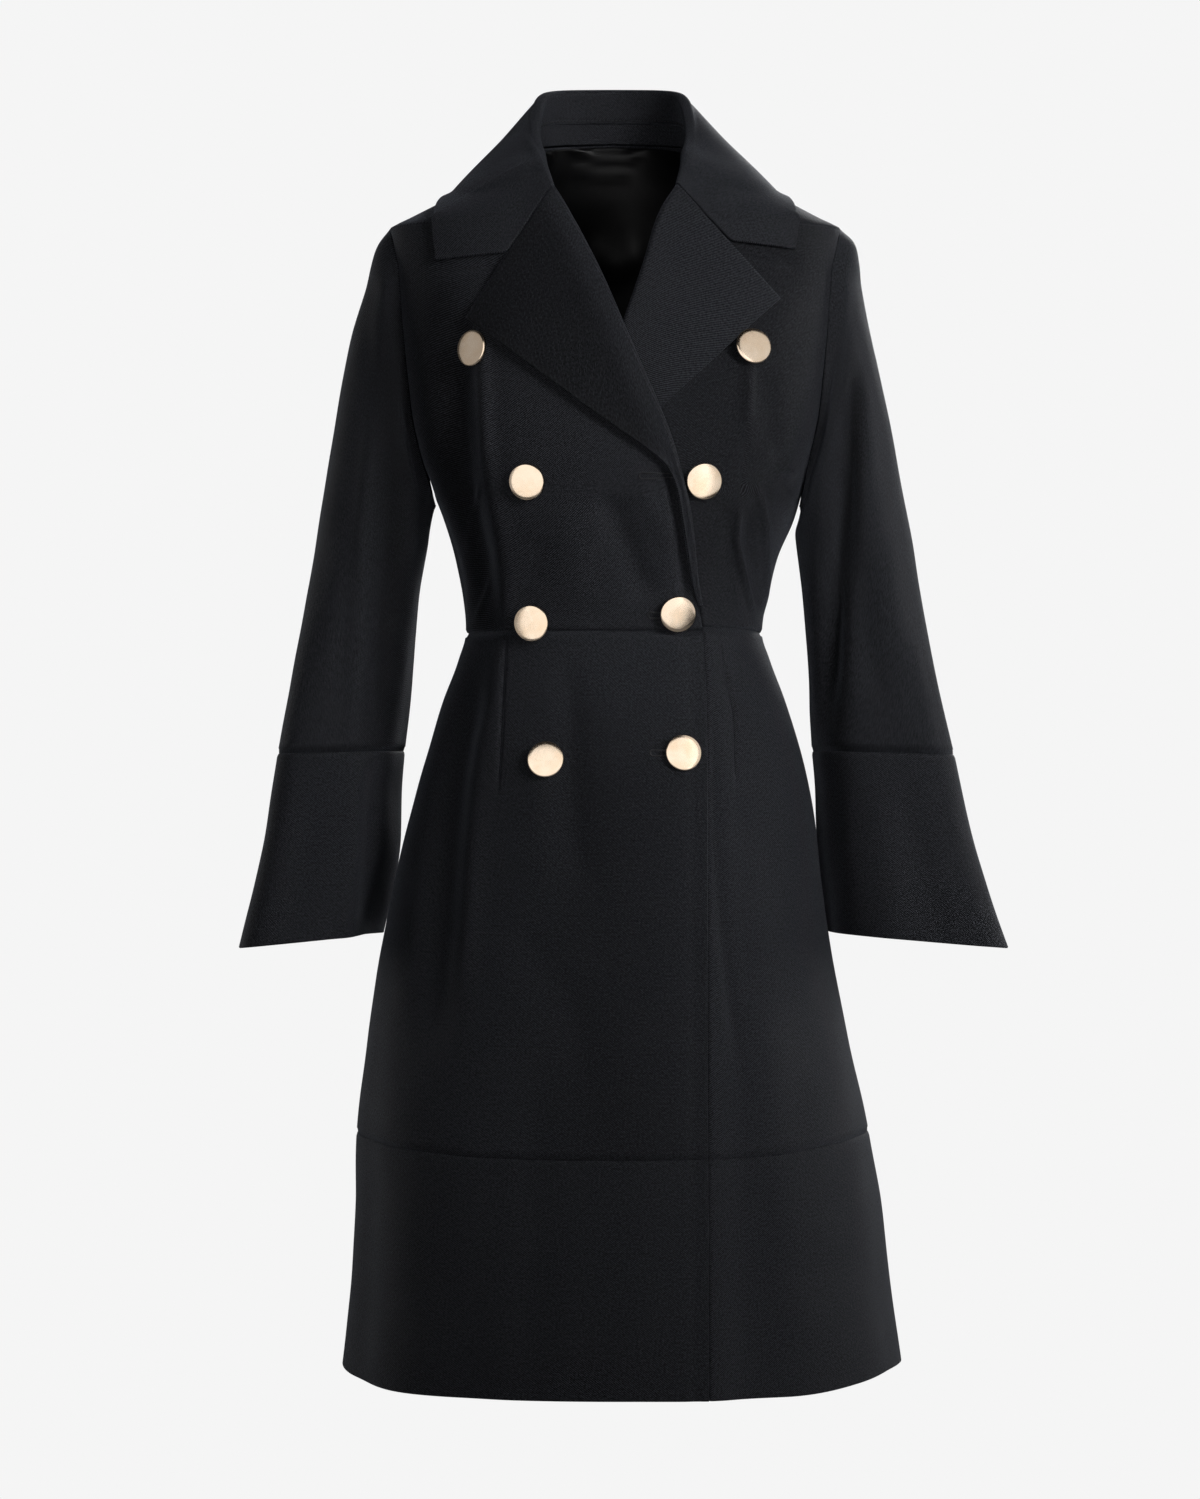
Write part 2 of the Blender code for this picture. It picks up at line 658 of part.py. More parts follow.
def add_collar(materials):
    """Collar with its fall all round the neck, and the stand band inside it."""
    places = np.linspace(0.0, COLLAR[-1][0], COLLAR_STEPS)
    rows = [collar_section(place, -1.0) for place in reversed(places)]
    rows += [collar_section(place, 1.0) for place in places[1:]]
    rows = np.array(rows)
    right, left = collar_end("right"), collar_end("left")
    shares = np.array([0.0, 1 / 3, 2 / 3])[:, None, None]
    head = right + (rows[0, 1:] - right) * shares
    foot = (left + (rows[-1, 1:] - left) * shares)[::-1]
    grid = np.concatenate([head, rows[:, 1:], foot])
    grid[1:-1, 6:] = clear_of_figure(grid[1:-1, 6:], COLLAR_LIFT)
    add_free_sheet("collar", grid, WALL, (SEAM, SEAM, SEAM, 0.0), materials["cloth"])
    shares = np.linspace(0.0, 1.0, 4)[None, :, None]
    band = rows[STAND_STEP:-STAND_STEP]
    stand = band[:, :1] + (band[:, 1:2] - band[:, :1]) * shares
    add_free_sheet("collar_stand", stand, WALL, (SEAM, SEAM, STAND_SEAM, SEAM), materials["cloth"])


def ring_turns():
    """Angles of the points round a sleeve, from its top over the front."""
    return np.arange(2 * ARMHOLE_STEPS) * np.pi / ARMHOLE_STEPS


def tube_ring(table, part, square, sign):
    """Ring of a sleeve or cuff at one place along it, turned about its own middle."""
    turn = ring_turns()
    outer = np.array([column(table, "outer_x", part), 0.0, -column(table, "outer_drop", part)])
    inner = np.array([column(table, "inner_x", part), 0.0, -column(table, "inner_drop", part)])
    cosine, sine = np.cos(turn), np.sin(turn)
    scale = (np.abs(cosine) ** square + np.abs(sine) ** square) ** (-1 / square)
    ring = (outer + inner) / 2 + (cosine * scale)[:, None] * (outer - inner) / 2
    depth = -sine * scale * column(table, "half_depth", part)
    reach = cosine * scale * (outer[0] - inner[0]) / 2 - column(table, "turn", part) * depth
    reach *= (outer[0] - inner[0]) / 2 / np.abs(reach).max()
    ring[:, 0] = sign * ((outer[0] + inner[0]) / 2 + reach)
    ring[:, 1] += column(table, "middle_y", part) + depth
    return ring


def armhole_ring(sign):
    """Ring along the armhole edge of the bodice, eased outward under the arm."""
    turn = ring_turns()
    levels = armhole_levels()
    drop = np.concatenate([levels, levels[-2:0:-1]])
    angle = np.where(np.sin(turn) >= 0, column(ARMHOLE, "front", drop), column(ARMHOLE, "back", drop))
    ring = surface(sign * angle, drop)
    ring[:, 0] += sign * (SLEEVE_SEAM + UNDERARM_EASE * (1 - np.cos(turn)) / 2)
    return ring


def add_tube(name, rings, head, foot, material):
    """Make a thin-walled tube of cloth from its rings."""
    grid = np.array(rings)
    down = np.gradient(grid, axis=0)
    across = np.roll(grid, -1, axis=1) - np.roll(grid, 1, axis=1)
    normal = unit(np.cross(down, across))
    walls = []
    for level in (WALL / 2, -WALL / 2):
        wall = grid + normal * level
        wall[0] += unit(wall[1] - wall[0]) * head
        wall[-1] += unit(wall[-2] - wall[-1]) * foot
        walls.append(wall)
    add_sheet(name, walls[0], walls[1], material, tube=True)


def add_sleeve(side, materials):
    """Sleeve from the armhole to the cuff seam, and the bell cuff below it."""
    sign = -1.0 if side == "right" else 1.0
    table = SLEEVE[side]
    last = table[-1][0]
    offset = armhole_ring(sign) - tube_ring(table, 0.0, SLEEVE_SQUARE[1][1], sign)
    turn = np.degrees(ring_turns())
    rings = []
    for part in last * np.linspace(0.0, 1.0, SLEEVE_ROWS):
        ring = tube_ring(table, part, column(SLEEVE_SQUARE, "square", part), sign)
        middle = ring.mean(axis=0)
        for angle, spread, start, finish, depth in SLEEVE_HOLLOWS[side][1:]:
            along = ease((part - start) / 1.5) * ease((finish - part) / 1.5)
            pull = depth * along * np.exp(-(((turn - angle) / spread) ** 2))
            ring -= unit(ring - middle) * pull[:, None]
        rings.append(ring + offset * ease(1 - part / SLEEVE_BLEND))
    add_tube(side + "_sleeve", rings, 0.0, SEAM / 2, materials["cloth"])
    table = CUFF[side]
    last = table[-1][0]
    parts = last * np.linspace(0.0, 1.0, CUFF_ROWS)
    rings = [tube_ring(table, part, CUFF_SQUARE, sign) for part in parts]
    add_tube(side + "_cuff", rings, SEAM / 2, 0.0, materials["cloth"])


def add_button(name, side, x, drop, gap, material):
    """Round button with a low dome and a rounded edge, lying on its front."""
    foot = on_front(side, x, drop, WALL / 2 + gap)
    out = unit(on_front(side, x, drop, 10.0) - foot)
    across = unit(np.cross(np.array([0.0, 0.0, 1.0]), out))
    upward = np.cross(out, across)
    turn = np.radians(np.arange(BUTTON_SIDES) * 360.0 / BUTTON_SIDES)
    ring = np.cos(turn)[:, None] * across + np.sin(turn)[:, None] * upward
    vertices = []
    for radius, height in BUTTON_PROFILE[1:]:
        vertices.extend(foot + ring * radius * BUTTON_RADIUS + out * height * BUTTON_HEIGHT)
    faces = [tuple(range(BUTTON_SIDES))]
    last = len(vertices) - BUTTON_SIDES
    faces.append(tuple(reversed(range(last, last + BUTTON_SIDES))))
    for level in range(0, last, BUTTON_SIDES):
        for start in range(BUTTON_SIDES):
            end = (start + 1) % BUTTON_SIDES
            near, far = level, level + BUTTON_SIDES
            faces.append((near + start, far + start, far + end, near + end))
    add_piece(name, vertices, faces, material)


def add_material(name, colour, roughness, metallic):
    """Plain surface with a colour, roughness and metal share."""
    material = bpy.data.materials.new(name)
    material.use_nodes = True
    shader = material.node_tree.nodes["Principled BSDF"]
    shader.inputs["Base Color"].default_value = (*colour, 1.0)
    shader.inputs["Roughness"].default_value = roughness
    shader.inputs["Metallic"].default_value = metallic
    return material


for item in list(bpy.data.objects):
    bpy.data.objects.remove(item, do_unlink=True)

fabrics = {
    "cloth": add_material("black_twill", (0.012, 0.013, 0.016), 0.75, 0.0),
    "satin": add_material("black_satin", (0.010, 0.010, 0.012), 0.35, 0.0),
    "gold": add_material("pale_gold", (0.83, 0.66, 0.45), 0.25, 1.0),
}
for front in ("right", "left"):
    add_front(front, fabrics)
    add_lapel(front, fabrics)
    add_sleeve(front, fabrics)
add_back(fabrics)
add_collar(fabrics)
for button, carrier, place, level, shank in BUTTONS:
    add_button(button, carrier, place, level, shank, fabrics["gold"])
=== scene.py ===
import bpy
import numpy as np
from mathutils import Matrix, Vector


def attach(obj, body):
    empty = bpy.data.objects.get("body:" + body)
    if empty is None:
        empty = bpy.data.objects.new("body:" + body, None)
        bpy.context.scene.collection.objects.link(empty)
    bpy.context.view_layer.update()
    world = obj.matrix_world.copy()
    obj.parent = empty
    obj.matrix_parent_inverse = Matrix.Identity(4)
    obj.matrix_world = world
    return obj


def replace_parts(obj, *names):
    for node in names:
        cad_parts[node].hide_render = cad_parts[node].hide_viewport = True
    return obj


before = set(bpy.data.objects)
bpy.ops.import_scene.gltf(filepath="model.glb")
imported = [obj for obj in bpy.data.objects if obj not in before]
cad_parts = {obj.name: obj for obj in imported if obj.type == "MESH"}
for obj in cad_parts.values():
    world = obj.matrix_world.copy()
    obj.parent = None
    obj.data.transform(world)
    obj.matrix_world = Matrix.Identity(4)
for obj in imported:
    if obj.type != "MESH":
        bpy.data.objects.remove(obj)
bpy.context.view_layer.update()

# Every size is in millimetres unless it says otherwise, and a drop is measured down from the
# shoulder seam at the neck
METRES = 0.001

# Which way each side of the coat lies from its middle, along X
SIGN = {"right": -1.0, "left": 1.0}

# Steps in degrees and in millimetres over which the slope of the figure is measured, and the most of
# its half width that a place on its front may take
ANGLE_STEP = 0.4
DROP_STEP = 0.5
FRONT_LIMIT = 0.999

# Cloth: thickness, the space kept at seams, the round of edges, and how far seams sink and tuck under
WALL = 2.0
LINING_WALL = 1.0
SEAM = 0.3
STAND_SEAM = 1.2
SLEEVE_SEAM = 0.6
UNDERARM_EASE = 3.0
EDGE_ROUND = 0.7
SEAM_ROUND = 0.3
SEAM_SINK = 1.2
WAIST_SINK = 2.6
SINK_BESIDE = 0.4
TUCK = 0.15
SLEEVE_TUCK = 1.2
TRIM_LIMIT = 0.45

# Levels of the long seams at the sides and back
WAIST_DROP = 410.0
BAND_DROP = 836.5
HEM_DROP = 1034.0
SIDE_ANGLE = 94.0
WAIST_BLEND = 40.0

# Levels of the long seams round the front, by the angle from the centre front
WAIST_SEAM = {
    "right": (("angle", "drop"), (-94, 410), (40, 410)),
    "left": (("angle", "drop"), (-40, 406.5), (35, 406.5), (94, 410)),
}
BAND_SEAM = (
    ("angle", "drop"),
    (-94, 836.5), (-80, 838), (-53, 842), (-28, 847), (0, 848), (34, 847), (54, 840), (80, 837),
    (94, 836.5),
)
HEM_SEAM = (
    ("angle", "drop"),
    (-94, 1034), (-72, 1040), (-45, 1042.3), (0, 1041), (35, 1042.5), (55, 1038), (72, 1034.5),
    (94, 1034),
)

# How far the right front stands off where it laps over the left front and over its lapel
LAP_LIFT = 3.2
LAP_START = -130.0
LAP_FULL = -80.0
LAP_TOP = 80.0
LAP_TOP_FULL = 150.0
UNDERLAP_LIFT = 7.0
UNDERLAP_CENTRE = (0.0, 200.0)
UNDERLAP_SPREAD = (60.0, 95.0)

# Lapels and collar
LAPEL_EDGE_LIFT = 2.9
LAPEL_FALL = 1.5
LAPEL_SPRING = {"right": 4.0, "left": 2.5}
SPRING_TOP = 30.0
SPRING_TOP_FADE = 60.0
SPRING_FOOT_FADE = 120.0
COLLAR_ROLL = 4.0
COLLAR_LEG = 1.5
COLLAR_BULGE = 7.0
COLLAR_LIFT = 4.4
COLLAR_SPRING = 2.6
GORGE_DROP = 39.0
GORGE_GAP = 0.8
CLEAR_PASSES = 4

# The figure that the cloth follows, one row for each level
FIGURE = (
    ("drop", "half_width", "front", "back", "front_square", "back_square", "shift"),
    (-60, 60.0, 42, 57, 2.2, 2.2, -2.5),
    (-20, 66.0, 46, 62, 2.2, 2.2, -2.5),
    (0, 76.0, 50, 64.5, 2.2, 2.2, -2),
    (20, 107.5, 60, 68, 2.2, 2.2, -1),
    (32, 129.5, 66, 71, 2.2, 2.2, 0),
    (40, 147.0, 70, 73.5, 2.2, 2.2, 0),
    (58, 182.0, 79, 79, 2.3, 2.2, 0),
    (63, 192.5, 81, 80.5, 2.3, 2.2, 0),
    (80, 193.0, 88, 86, 2.4, 2.2, 0),
    (102, 191.5, 96, 92, 2.5, 2.3, 0),
    (156, 187.0, 112, 100, 2.6, 2.4, 0),
    (195, 183.0, 119, 103, 2.6, 2.4, 0),
    (224, 178.5, 122, 103, 2.6, 2.4, 0),
    (260, 168.0, 123, 101, 2.6, 2.4, 0),
    (285, 159.0, 121, 99, 2.5, 2.4, 1.5),
    (312, 149.8, 117, 95, 2.5, 2.3, 2.7),
    (346, 137.5, 109, 89, 2.4, 2.3, 1),
    (381, 130.0, 101, 83, 2.3, 2.2, 0),
    (410, 126.3, 96, 80, 2.3, 2.2, -1),
    (433, 133.0, 98, 85, 2.3, 2.2, -1),
    (467, 146.0, 104, 97, 2.2, 2.2, -1),
    (501, 156.5, 110, 108, 2.2, 2.2, -1),
    (553, 170.0, 119, 120, 2.2, 2.2, -2),
    (620, 182.0, 131, 133, 2.2, 2.2, -6),
    (690, 194.0, 143, 145, 2.1, 2.1, -8),
    (760, 206.0, 155, 156, 2.1, 2.1, -6),
    (838, 219.0, 168, 168, 2.1, 2.1, -2),
    (900, 225.0, 178, 177, 2.1, 2.1, 3),
    (966, 230.5, 188, 186, 2.0, 2.0, 5),
    (1041, 240.0, 200, 196, 2.0, 2.0, 6),
)

# Soft flares of the skirt, full at the hem and gone a little below the waist
FLARE_TOP = 540.0
FLARES = (
    ("angle", "spread", "height"),
    (-46, 14, 8.5),
    (-68, 9, -3.0),
    (28, 8, -4.5),
    (48, 13, 2.5),
    (74, 9, -2.5),
    (112, 11, -4.0),
    (136, 12, 5.5),
    (160, 10, -4.0),
    (182, 13, 5.5),
    (204, 10, -4.0),
    (228, 12, 5.5),
    (250, 11, -4.0),
)

# Neck seam on the figure from the centre back to the gorge, and the armhole edges of front and back
NECK = (
    ("angle", "drop"),
    (22, 39), (37, 17), (57, 5), (90, 0), (105, -7), (120, -13), (150, -18), (180, -20),
)
NECK_FADE = 100.0
NECK_FRONT = (("drop", "angle"), (0, 90), (5, 60), (17, 40), (39, 24.5))
ARMHOLE_TOP = 63.0
ARMHOLE_FOOT = 300.0
ARMHOLE = (
    ("drop", "front", "back"),
    (0, 90, 90),
    (63, 90, 90),
    (66, 82, 97),
    (72, 76.5, 103),
    (80, 72.7, 107),
    (102, 67.3, 113),
    (156, 66, 117),
    (195, 66, 117),
    (224, 67.3, 116),
    (260, 70.8, 111),
    (285, 78.6, 102),
    (300, 94, 94),
    (410, 94, 94),
)

# Front edges: the roll line of the lapel above, the closing edge below
FRONT_EDGE = (
    ("drop", "right", "left"),
    (39, -54, 53.5),
    (64, -40, 39),
    (107, -18.5, 25.5),
    (153, 0.7, 9),
    (194, 18.5, -6.5),
    (224, 32, -18),
    (250, 42.3, -27.5),
    (267, 47.8, -33),
    (287, 53.5, -41),
    (305, 58, -48.5),
    (327, 61.5, -56),
    (363, 65, -64),
    (388, 68.8, -68),
    (410, 71.5, -71),
    (502, 75.6, -75),
    (1041, 75.1, -75),
)
LAPEL_ROLL = (
    ("drop", "right", "left"),
    (39, 4.0, 4.0),
    (107, 4.0, 3.2),
    (153, 3.8, 2.2),
    (250, 3.0, 1.6),
    (280, 2.4, 1.6),
    (318, 1.9, 1.6),
    (380, 1.6, 1.6),
)
LAPEL_FOOT = {"right": 388.0, "left": 265.3}
LAPEL_OUTLINE = {
    "right": (
        ("roll_drop", "x", "drop"),
        (39, -124.3, 148.1),
        (80, -96.4, 170.2),
        (150, -46.2, 209.0),
        (205, -2.0, 240.8),
        (235, 20.0, 256.0),
        (255, 33.0, 265.0),
        (272, 42.0, 273.5),
        (285, 47.6, 285.0),
        (300, 51.6, 300.0),
        (330, 56.5, 330.0),
        (352, 59.8, 352.0),
        (374, 64.2, 374.0),
        (388, 68.0, 388.0),
    ),
    "left": (
        ("roll_drop", "x", "drop"),
        (39, 137.4, 131.3),
        (85, 104.1, 162.5),
        (140, 70.4, 194.5),
        (195, 39.5, 223.0),
        (276, -27.0, 277.0),
    ),
}
COLLAR_END = {
    "right": (("part", "x", "drop"), (0, -54.0, 39), (0.5, -90.3, 94.0), (1, -149.5, 98.0)),
    "left": (("part", "x", "drop"), (0, 53.5, 39), (0.5, 96.1, 84.3), (1, 150.0, 89.0)),
}

# Collar sections of one half, from the centre back towards the gorge
COLLAR = (
    ("place", "angle", "stand", "rise", "lean", "tilt", "edge_x", "edge_y", "edge_z"),
    (0, 180, 0.40, 41.5, 8, 0, 0, 83, -44),
    (1, 140, 0.41, 42.5, 8, 0, 80, 77, -46),
    (2, 115, 0.42, 42.5, 7, 0, 119, 56, -44),
    (3, 90, 0.42, 27, 13, 12, 137, 8, -34),
    (4, 57, 0.50, 2.5, 11, 45, 150, -32, -48),
    (5, 37, 0.50, 0, 5, 68, 151, -52, -68),
)

# Sleeves and cuffs, seen as an outer and an inner line with a depth between them
ARM_COLUMNS = ("part", "outer_x", "outer_drop", "inner_x", "inner_drop", "middle_y", "half_depth", "turn")
SLEEVE = {
    "right": (
        ARM_COLUMNS,
        (0, 193.0, 63, 156.5, 300, 0, 50, 0.00),
        (1, 204.0, 78, 158.3, 306, 0, 52, 0.00),
        (2, 212.5, 110, 159.2, 313, 0, 55, 0.00),
        (3, 225.6, 157, 160.2, 321, 0, 57, 0.00),
        (4, 238.8, 226, 161.7, 333, 0, 58, 0.00),
        (5, 250.2, 295, 165.0, 351, 1, 57, 0.00),
        (6, 260.0, 355, 169.0, 374, 3, 55, 0.04),
        (7, 269.0, 408, 172.7, 410, 6, 54, 0.10),
        (8, 278.0, 458, 177.0, 458, 10, 53, 0.18),
        (9, 288.6, 513, 183.0, 511, 14, 53, 0.24),
    ),
    "left": (
        ARM_COLUMNS,
        (0, 193.0, 63, 156.5, 300, 0, 50, 0.00),
        (1, 206.0, 77, 158.0, 307, 0, 52, 0.00),
        (2, 211.0, 110, 156.6, 315, 0, 55, 0.00),
        (3, 219.6, 157, 155.8, 323, 0, 57, 0.00),
        (4, 234.2, 226, 157.2, 336, 0, 58, 0.00),
        (5, 247.4, 295, 159.7, 354, 1, 57, 0.00),
        (6, 257.6, 351, 163.0, 376, 3, 55, 0.03),
        (7, 267.2, 408, 166.7, 410, 6, 54, 0.06),
        (8, 276.9, 458, 170.3, 458, 10, 53, 0.10),
        (9, 290.4, 514, 171.5, 511, 14, 53, 0.14),
    ),
}
CUFF = {
    "right": (
        ARM_COLUMNS,
        (0, 288.6, 513, 183.0, 511, 14, 53, 0.24),
        (1, 294.6, 553, 186.0, 549, 15, 54, 0.25),
        (2, 300.0, 588, 186.7, 584, 16, 56, 0.25),
        (3, 310.0, 632, 191.6, 624, 17, 59, 0.25),
        (4, 321.5, 680, 202.0, 669, 18, 62, 0.25),
    ),
    "left": (
        ARM_COLUMNS,
        (0, 290.4, 514, 171.5, 511, 14, 53, 0.14),
        (1, 298.5, 553, 174.8, 549, 15, 54, 0.15),
        (2, 307.0, 588, 176.0, 584, 16, 56, 0.16),
        (3, 320.5, 634, 179.6, 625, 17, 59, 0.17),
        (4, 337.0, 680, 185.6, 667.5, 18, 62, 0.18),
    ),
}
SLEEVE_SQUARE = (("part", "square"), (0, 2.3), (5, 2.3), (9, 3.0))
CUFF_SQUARE = 3.0
SLEEVE_BLEND = 4.0

# Long soft hollows down the sleeves
HOLLOW_FADE = 1.5
SLEEVE_HOLLOWS = {
    "right": (("angle", "spread", "start", "finish", "depth"), (62, 20, 2.0, 6.5, 3.5)),
    "left": (("angle", "spread", "start", "finish", "depth"), (98, 16, 2.5, 9.0, 4.5)),
}

# Buttons by row, with the front that carries each one and its height over the cloth
BUTTONS = (
    ("button_1_right", "right", -117.0, 175.0, 0.8),
    ("button_1_left", "left", 113.5, 173.5, 0.8),
    ("button_2_right", "right", -72.0, 285.5, 0.8),
    ("button_2_left", "left", 73.0, 285.5, 0.8),
    ("button_3_right", "right", -67.0, 402.5, 2.6),
    ("button_3_left", "right", 50.4, 394.4, 2.6),
    ("button_4_right", "right", -56.6, 519.5, 0.8),
    ("button_4_left", "right", 55.5, 513.5, 0.8),
)

# Rows and columns of the cloth grids, the drop of the first row, and the shares of a grid kept for the
# line beside each edge and for the spans between gathered lines
SHOULDER_DROP = 2.0
SHOULDER_ROWS = 18
ARMHOLE_STEPS = 48
SIDE_ROWS = 34
SKIRT_ROWS = 110
BAND_ROWS = 48
FRONT_SPANS = {"right": (46, 78), "left": (46, 34, 40)}
BACK_COLUMNS = 120
LINING_ROWS = 90
LINING_COLUMNS = 110
SLEEVE_ROWS = 120
CUFF_ROWS = 48
COLLAR_ROWS = 64
COLLAR_END_ROWS = 14
TURN_STEPS = 13
FALL_STEPS = 26
LAPEL_ROWS = 96
LAPEL_STEPS = 26
STAND_STEPS = 10
STAND_END_ROWS = 13
LEG_STEPS = 16
COLLAR_EVENING = 24
EDGE_SHARE = 0.008
SPAN_LEAST = 0.1
SPAN_LIMITS = (0.7, 0.95)
GATHER = 0.6

# Lines down each front along which the columns of points gather
GATHER_LINES = {
    "right_bodice": (
        ("drop", "x"),
        (63, -112), (190, -110.6), (250, -108), (285, -105), (332, -94.7), (376, -89.7), (410, -88),
    ),
    "right_skirt": (
        ("drop", "x"),
        (410, -89.7), (440, -91), (490, -94), (552, -97.3), (700, -104), (1042, -118),
    ),
    "left_bodice": (
        ("drop", "x"),
        (63, 112), (184, 112.4), (234, 109.8), (296, 104), (335, 101.5), (368, 109.8), (406, 120.7),
    ),
    "left_skirt": (
        ("drop", "x"),
        (406, 86), (424, 87.5), (455, 93), (482, 99), (548, 100.3), (700, 104), (1042, 118),
    ),
}

# Folds of each front: the places along each one by sideways place and drop, its width and its height
RIGHT_FOLDS = (
    (((-112, 116), (-110.6, 190), (-108, 250), (-105, 292)), 7, 4.2),
    (((-108, 255), (-94.7, 332), (-89.7, 376), (-88, 425)), 9, 3.6),
    (((-136, 130), (-135, 230), (-131, 290), (-118, 350), (-111, 412)), 16, -12.0),
    (((-111, 285), (-121.5, 301), (-128, 315), (-130, 349)), 2.8, 1.7),
    (((-109, 365), (-119, 404)), 2.8, 1.5),
    (((-13, 290), (6, 330), (30, 390)), 12, -4.6),
    (((14, 284), (36, 318), (50, 348)), 8, 1.6),
    (((36, 262), (46, 285), (52, 320), (56.5, 362), (60, 396)), 5, -4.0),
    (((-48, 300), (-30, 350), (-24, 396)), 16, 1.6),
    (((-60, 330), (-72, 372)), 10, -1.6),
    (((-88, 396), (-102, 468), (-112, 504), (-117, 544), (-120, 588), (-124, 657), (-134, 740)), 11, 4.0),
    (((-113, 414), (-126, 480), (-136, 520), (-144, 588), (-150, 680), (-162, 790)), 19, -9.5),
    (((-42, 414), (-39, 468), (-34.6, 573), (-22, 640)), 12, -2.6),
    (((-66, 500), (-62, 580), (-60, 650)), 14, 1.8),
    (((-104, 646), (-71, 669), (-38, 719), (-24, 790)), 14, -2.4),
    (((-10, 430), (-4, 560), (0, 660)), 18, 1.6),
    (((-116, 690), (-122, 800), (-128, 950)), 18, 2.2),
    (((-62, 740), (-66, 860), (-74, 1040)), 17, -2.2),
    (((10, 720), (16, 880), (14, 1040)), 24, 1.8),
    (((-215, 984), (-120, 988), (-40, 989), (110, 989)), 2.4, -0.7),
    (((-82, 100), (-118, 104), (-158, 106)), 5, -2.8),
)
LEFT_FOLDS = (
    (((139, 133), (105.5, 164.5), (72, 196.5), (41, 225), (6, 254)), 4.5, -3.4),
    (((112.4, 168), (111, 200), (109.8, 242)), 5, 3.2),
    (((127, 190), (129, 262)), 10, -2.6),
    (((104, 292), (101.5, 335), (109.8, 368), (121, 408)), 2.8, 2.4),
    (((112, 300), (112, 335), (119, 372), (127, 402)), 6, -2.2),
    (((117, 280), (126.5, 320), (128.5, 362), (126, 398)), 2.8, 3.0),
    (((96, 300), (94, 340), (102, 380)), 7, -1.2),
    (((139, 267), (152, 279)), 5, 2.2),
    (((129, 257), (148, 265)), 4, -2.0),
    (((136, 281), (150, 293)), 5, -1.8),
    (((79, 440), (80, 545), (82, 588), (87, 660), (96, 733), (106, 800)), 6, -3.4),
    (((108, 560), (122, 720), (136, 900), (142, 1040)), 20, 2.4),
    (((40, 989), (150, 987), (215, 982)), 2.4, -0.7),
    (((86, 90), (120, 95), (160, 98)), 5, -2.8),
)

# Front skirt darts along the gathered lines: first and last drop, width and height
FRONT_DARTS = {"right": (408, 552, 1.7, -2.4), "left": (412, 550, 1.7, -2.2)}
DART_POINTS = 16

# Folds of the back, which the photograph does not show, in the same manner
BACK_FOLDS = (
    (((-104, 150), (-96, 240), (-84, 330)), 15, 4.0),
    (((104, 150), (96, 240), (84, 330)), 15, 3.8),
    (((-130, 226), (-104, 290), (-70, 345)), 8, -3.6),
    (((130, 222), (100, 296), (62, 350)), 8, -3.4),
    (((-60, 336), (0, 360), (52, 350)), 8, -3.0),
    (((-54, 374), (8, 390), (58, 378)), 7, 2.6),
    (((-30, 70), (0, 86), (34, 72)), 14, -2.6),
    (((-90, 418), (-112, 560), (-128, 720)), 14, 4.4),
    (((92, 418), (116, 570), (130, 740)), 14, 4.2),
    (((-20, 430), (-28, 600), (-40, 820)), 16, -4.2),
    (((40, 440), (52, 620), (60, 840)), 14, 3.8),
    (((-230, 980), (0, 982), (230, 980)), 2.4, -0.7),
)

# Back darts: sewn lines that sink a little into the cloth
BACK_DARTS = (
    (((-84, 250), (-80, 330), (-72, 409)), 2.2, -1.3),
    (((84, 250), (80, 330), (72, 409)), 2.2, -1.3),
    (((-72, 411), (-76, 470), (-82, 540)), 2.2, -1.3),
    (((72, 411), (76, 470), (82, 540)), 2.2, -1.3),
)

# Folds of each sleeve and its cuff, on its front and on its back
SLEEVE_FOLDS = {
    "right_front": (
        (((-203, 190), (-213, 320), (-219, 430), (-224, 522)), 8, 3.0),
        (((-222, 505), (-225, 580), (-231, 690)), 8, 2.6),
        (((-188, 240), (-194, 380), (-202, 522)), 13, -7.0),
        (((-202, 505), (-206, 580), (-211, 690)), 11, -6.0),
        (((-176, 388), (-190, 400), (-206, 404)), 5, -1.8),
        (((-180, 430), (-196, 446), (-210, 452)), 5, -1.6),
        (((-244, 300), (-252, 400), (-262, 500)), 12, -1.6),
        (((-204, 98), (-210, 140), (-212, 200)), 7, -1.8),
        (((-254, 530), (-266, 600), (-280, 690)), 14, -2.0),
    ),
    "right_back": (
        (((-214, 260), (-224, 380), (-236, 500)), 12, -3.0),
        (((-190, 380), (-220, 396), (-246, 390)), 8, -2.4),
        (((-188, 420), (-224, 440), (-252, 430)), 8, 2.0),
        (((-224, 530), (-236, 600), (-246, 690)), 12, -2.4),
    ),
    "left_front": (
        (((205, 170), (200, 270), (193, 348), (180, 505)), 8, -8.5),
        (((168, 325), (172, 400), (175, 460), (177, 515)), 7, 4.0),
        (((170, 396), (184, 404), (200, 402)), 5, -1.4),
        (((246, 330), (252, 420), (262, 508)), 12, -1.4),
        (((206, 96), (212, 140), (214, 184)), 7, -1.6),
        (((186, 500), (188, 580), (188, 660)), 9, -2.2),
        (((246, 530), (262, 610), (284, 690)), 14, -2.0),
        (((222, 530), (232, 610), (240, 690)), 13, 1.8),
    ),
    "left_back": (
        (((212, 260), (222, 380), (234, 500)), 12, -3.0),
        (((188, 384), (218, 398), (244, 392)), 8, -2.4),
        (((186, 424), (222, 442), (250, 434)), 8, 2.0),
        (((222, 530), (236, 600), (250, 690)), 12, -2.4),
    ),
}

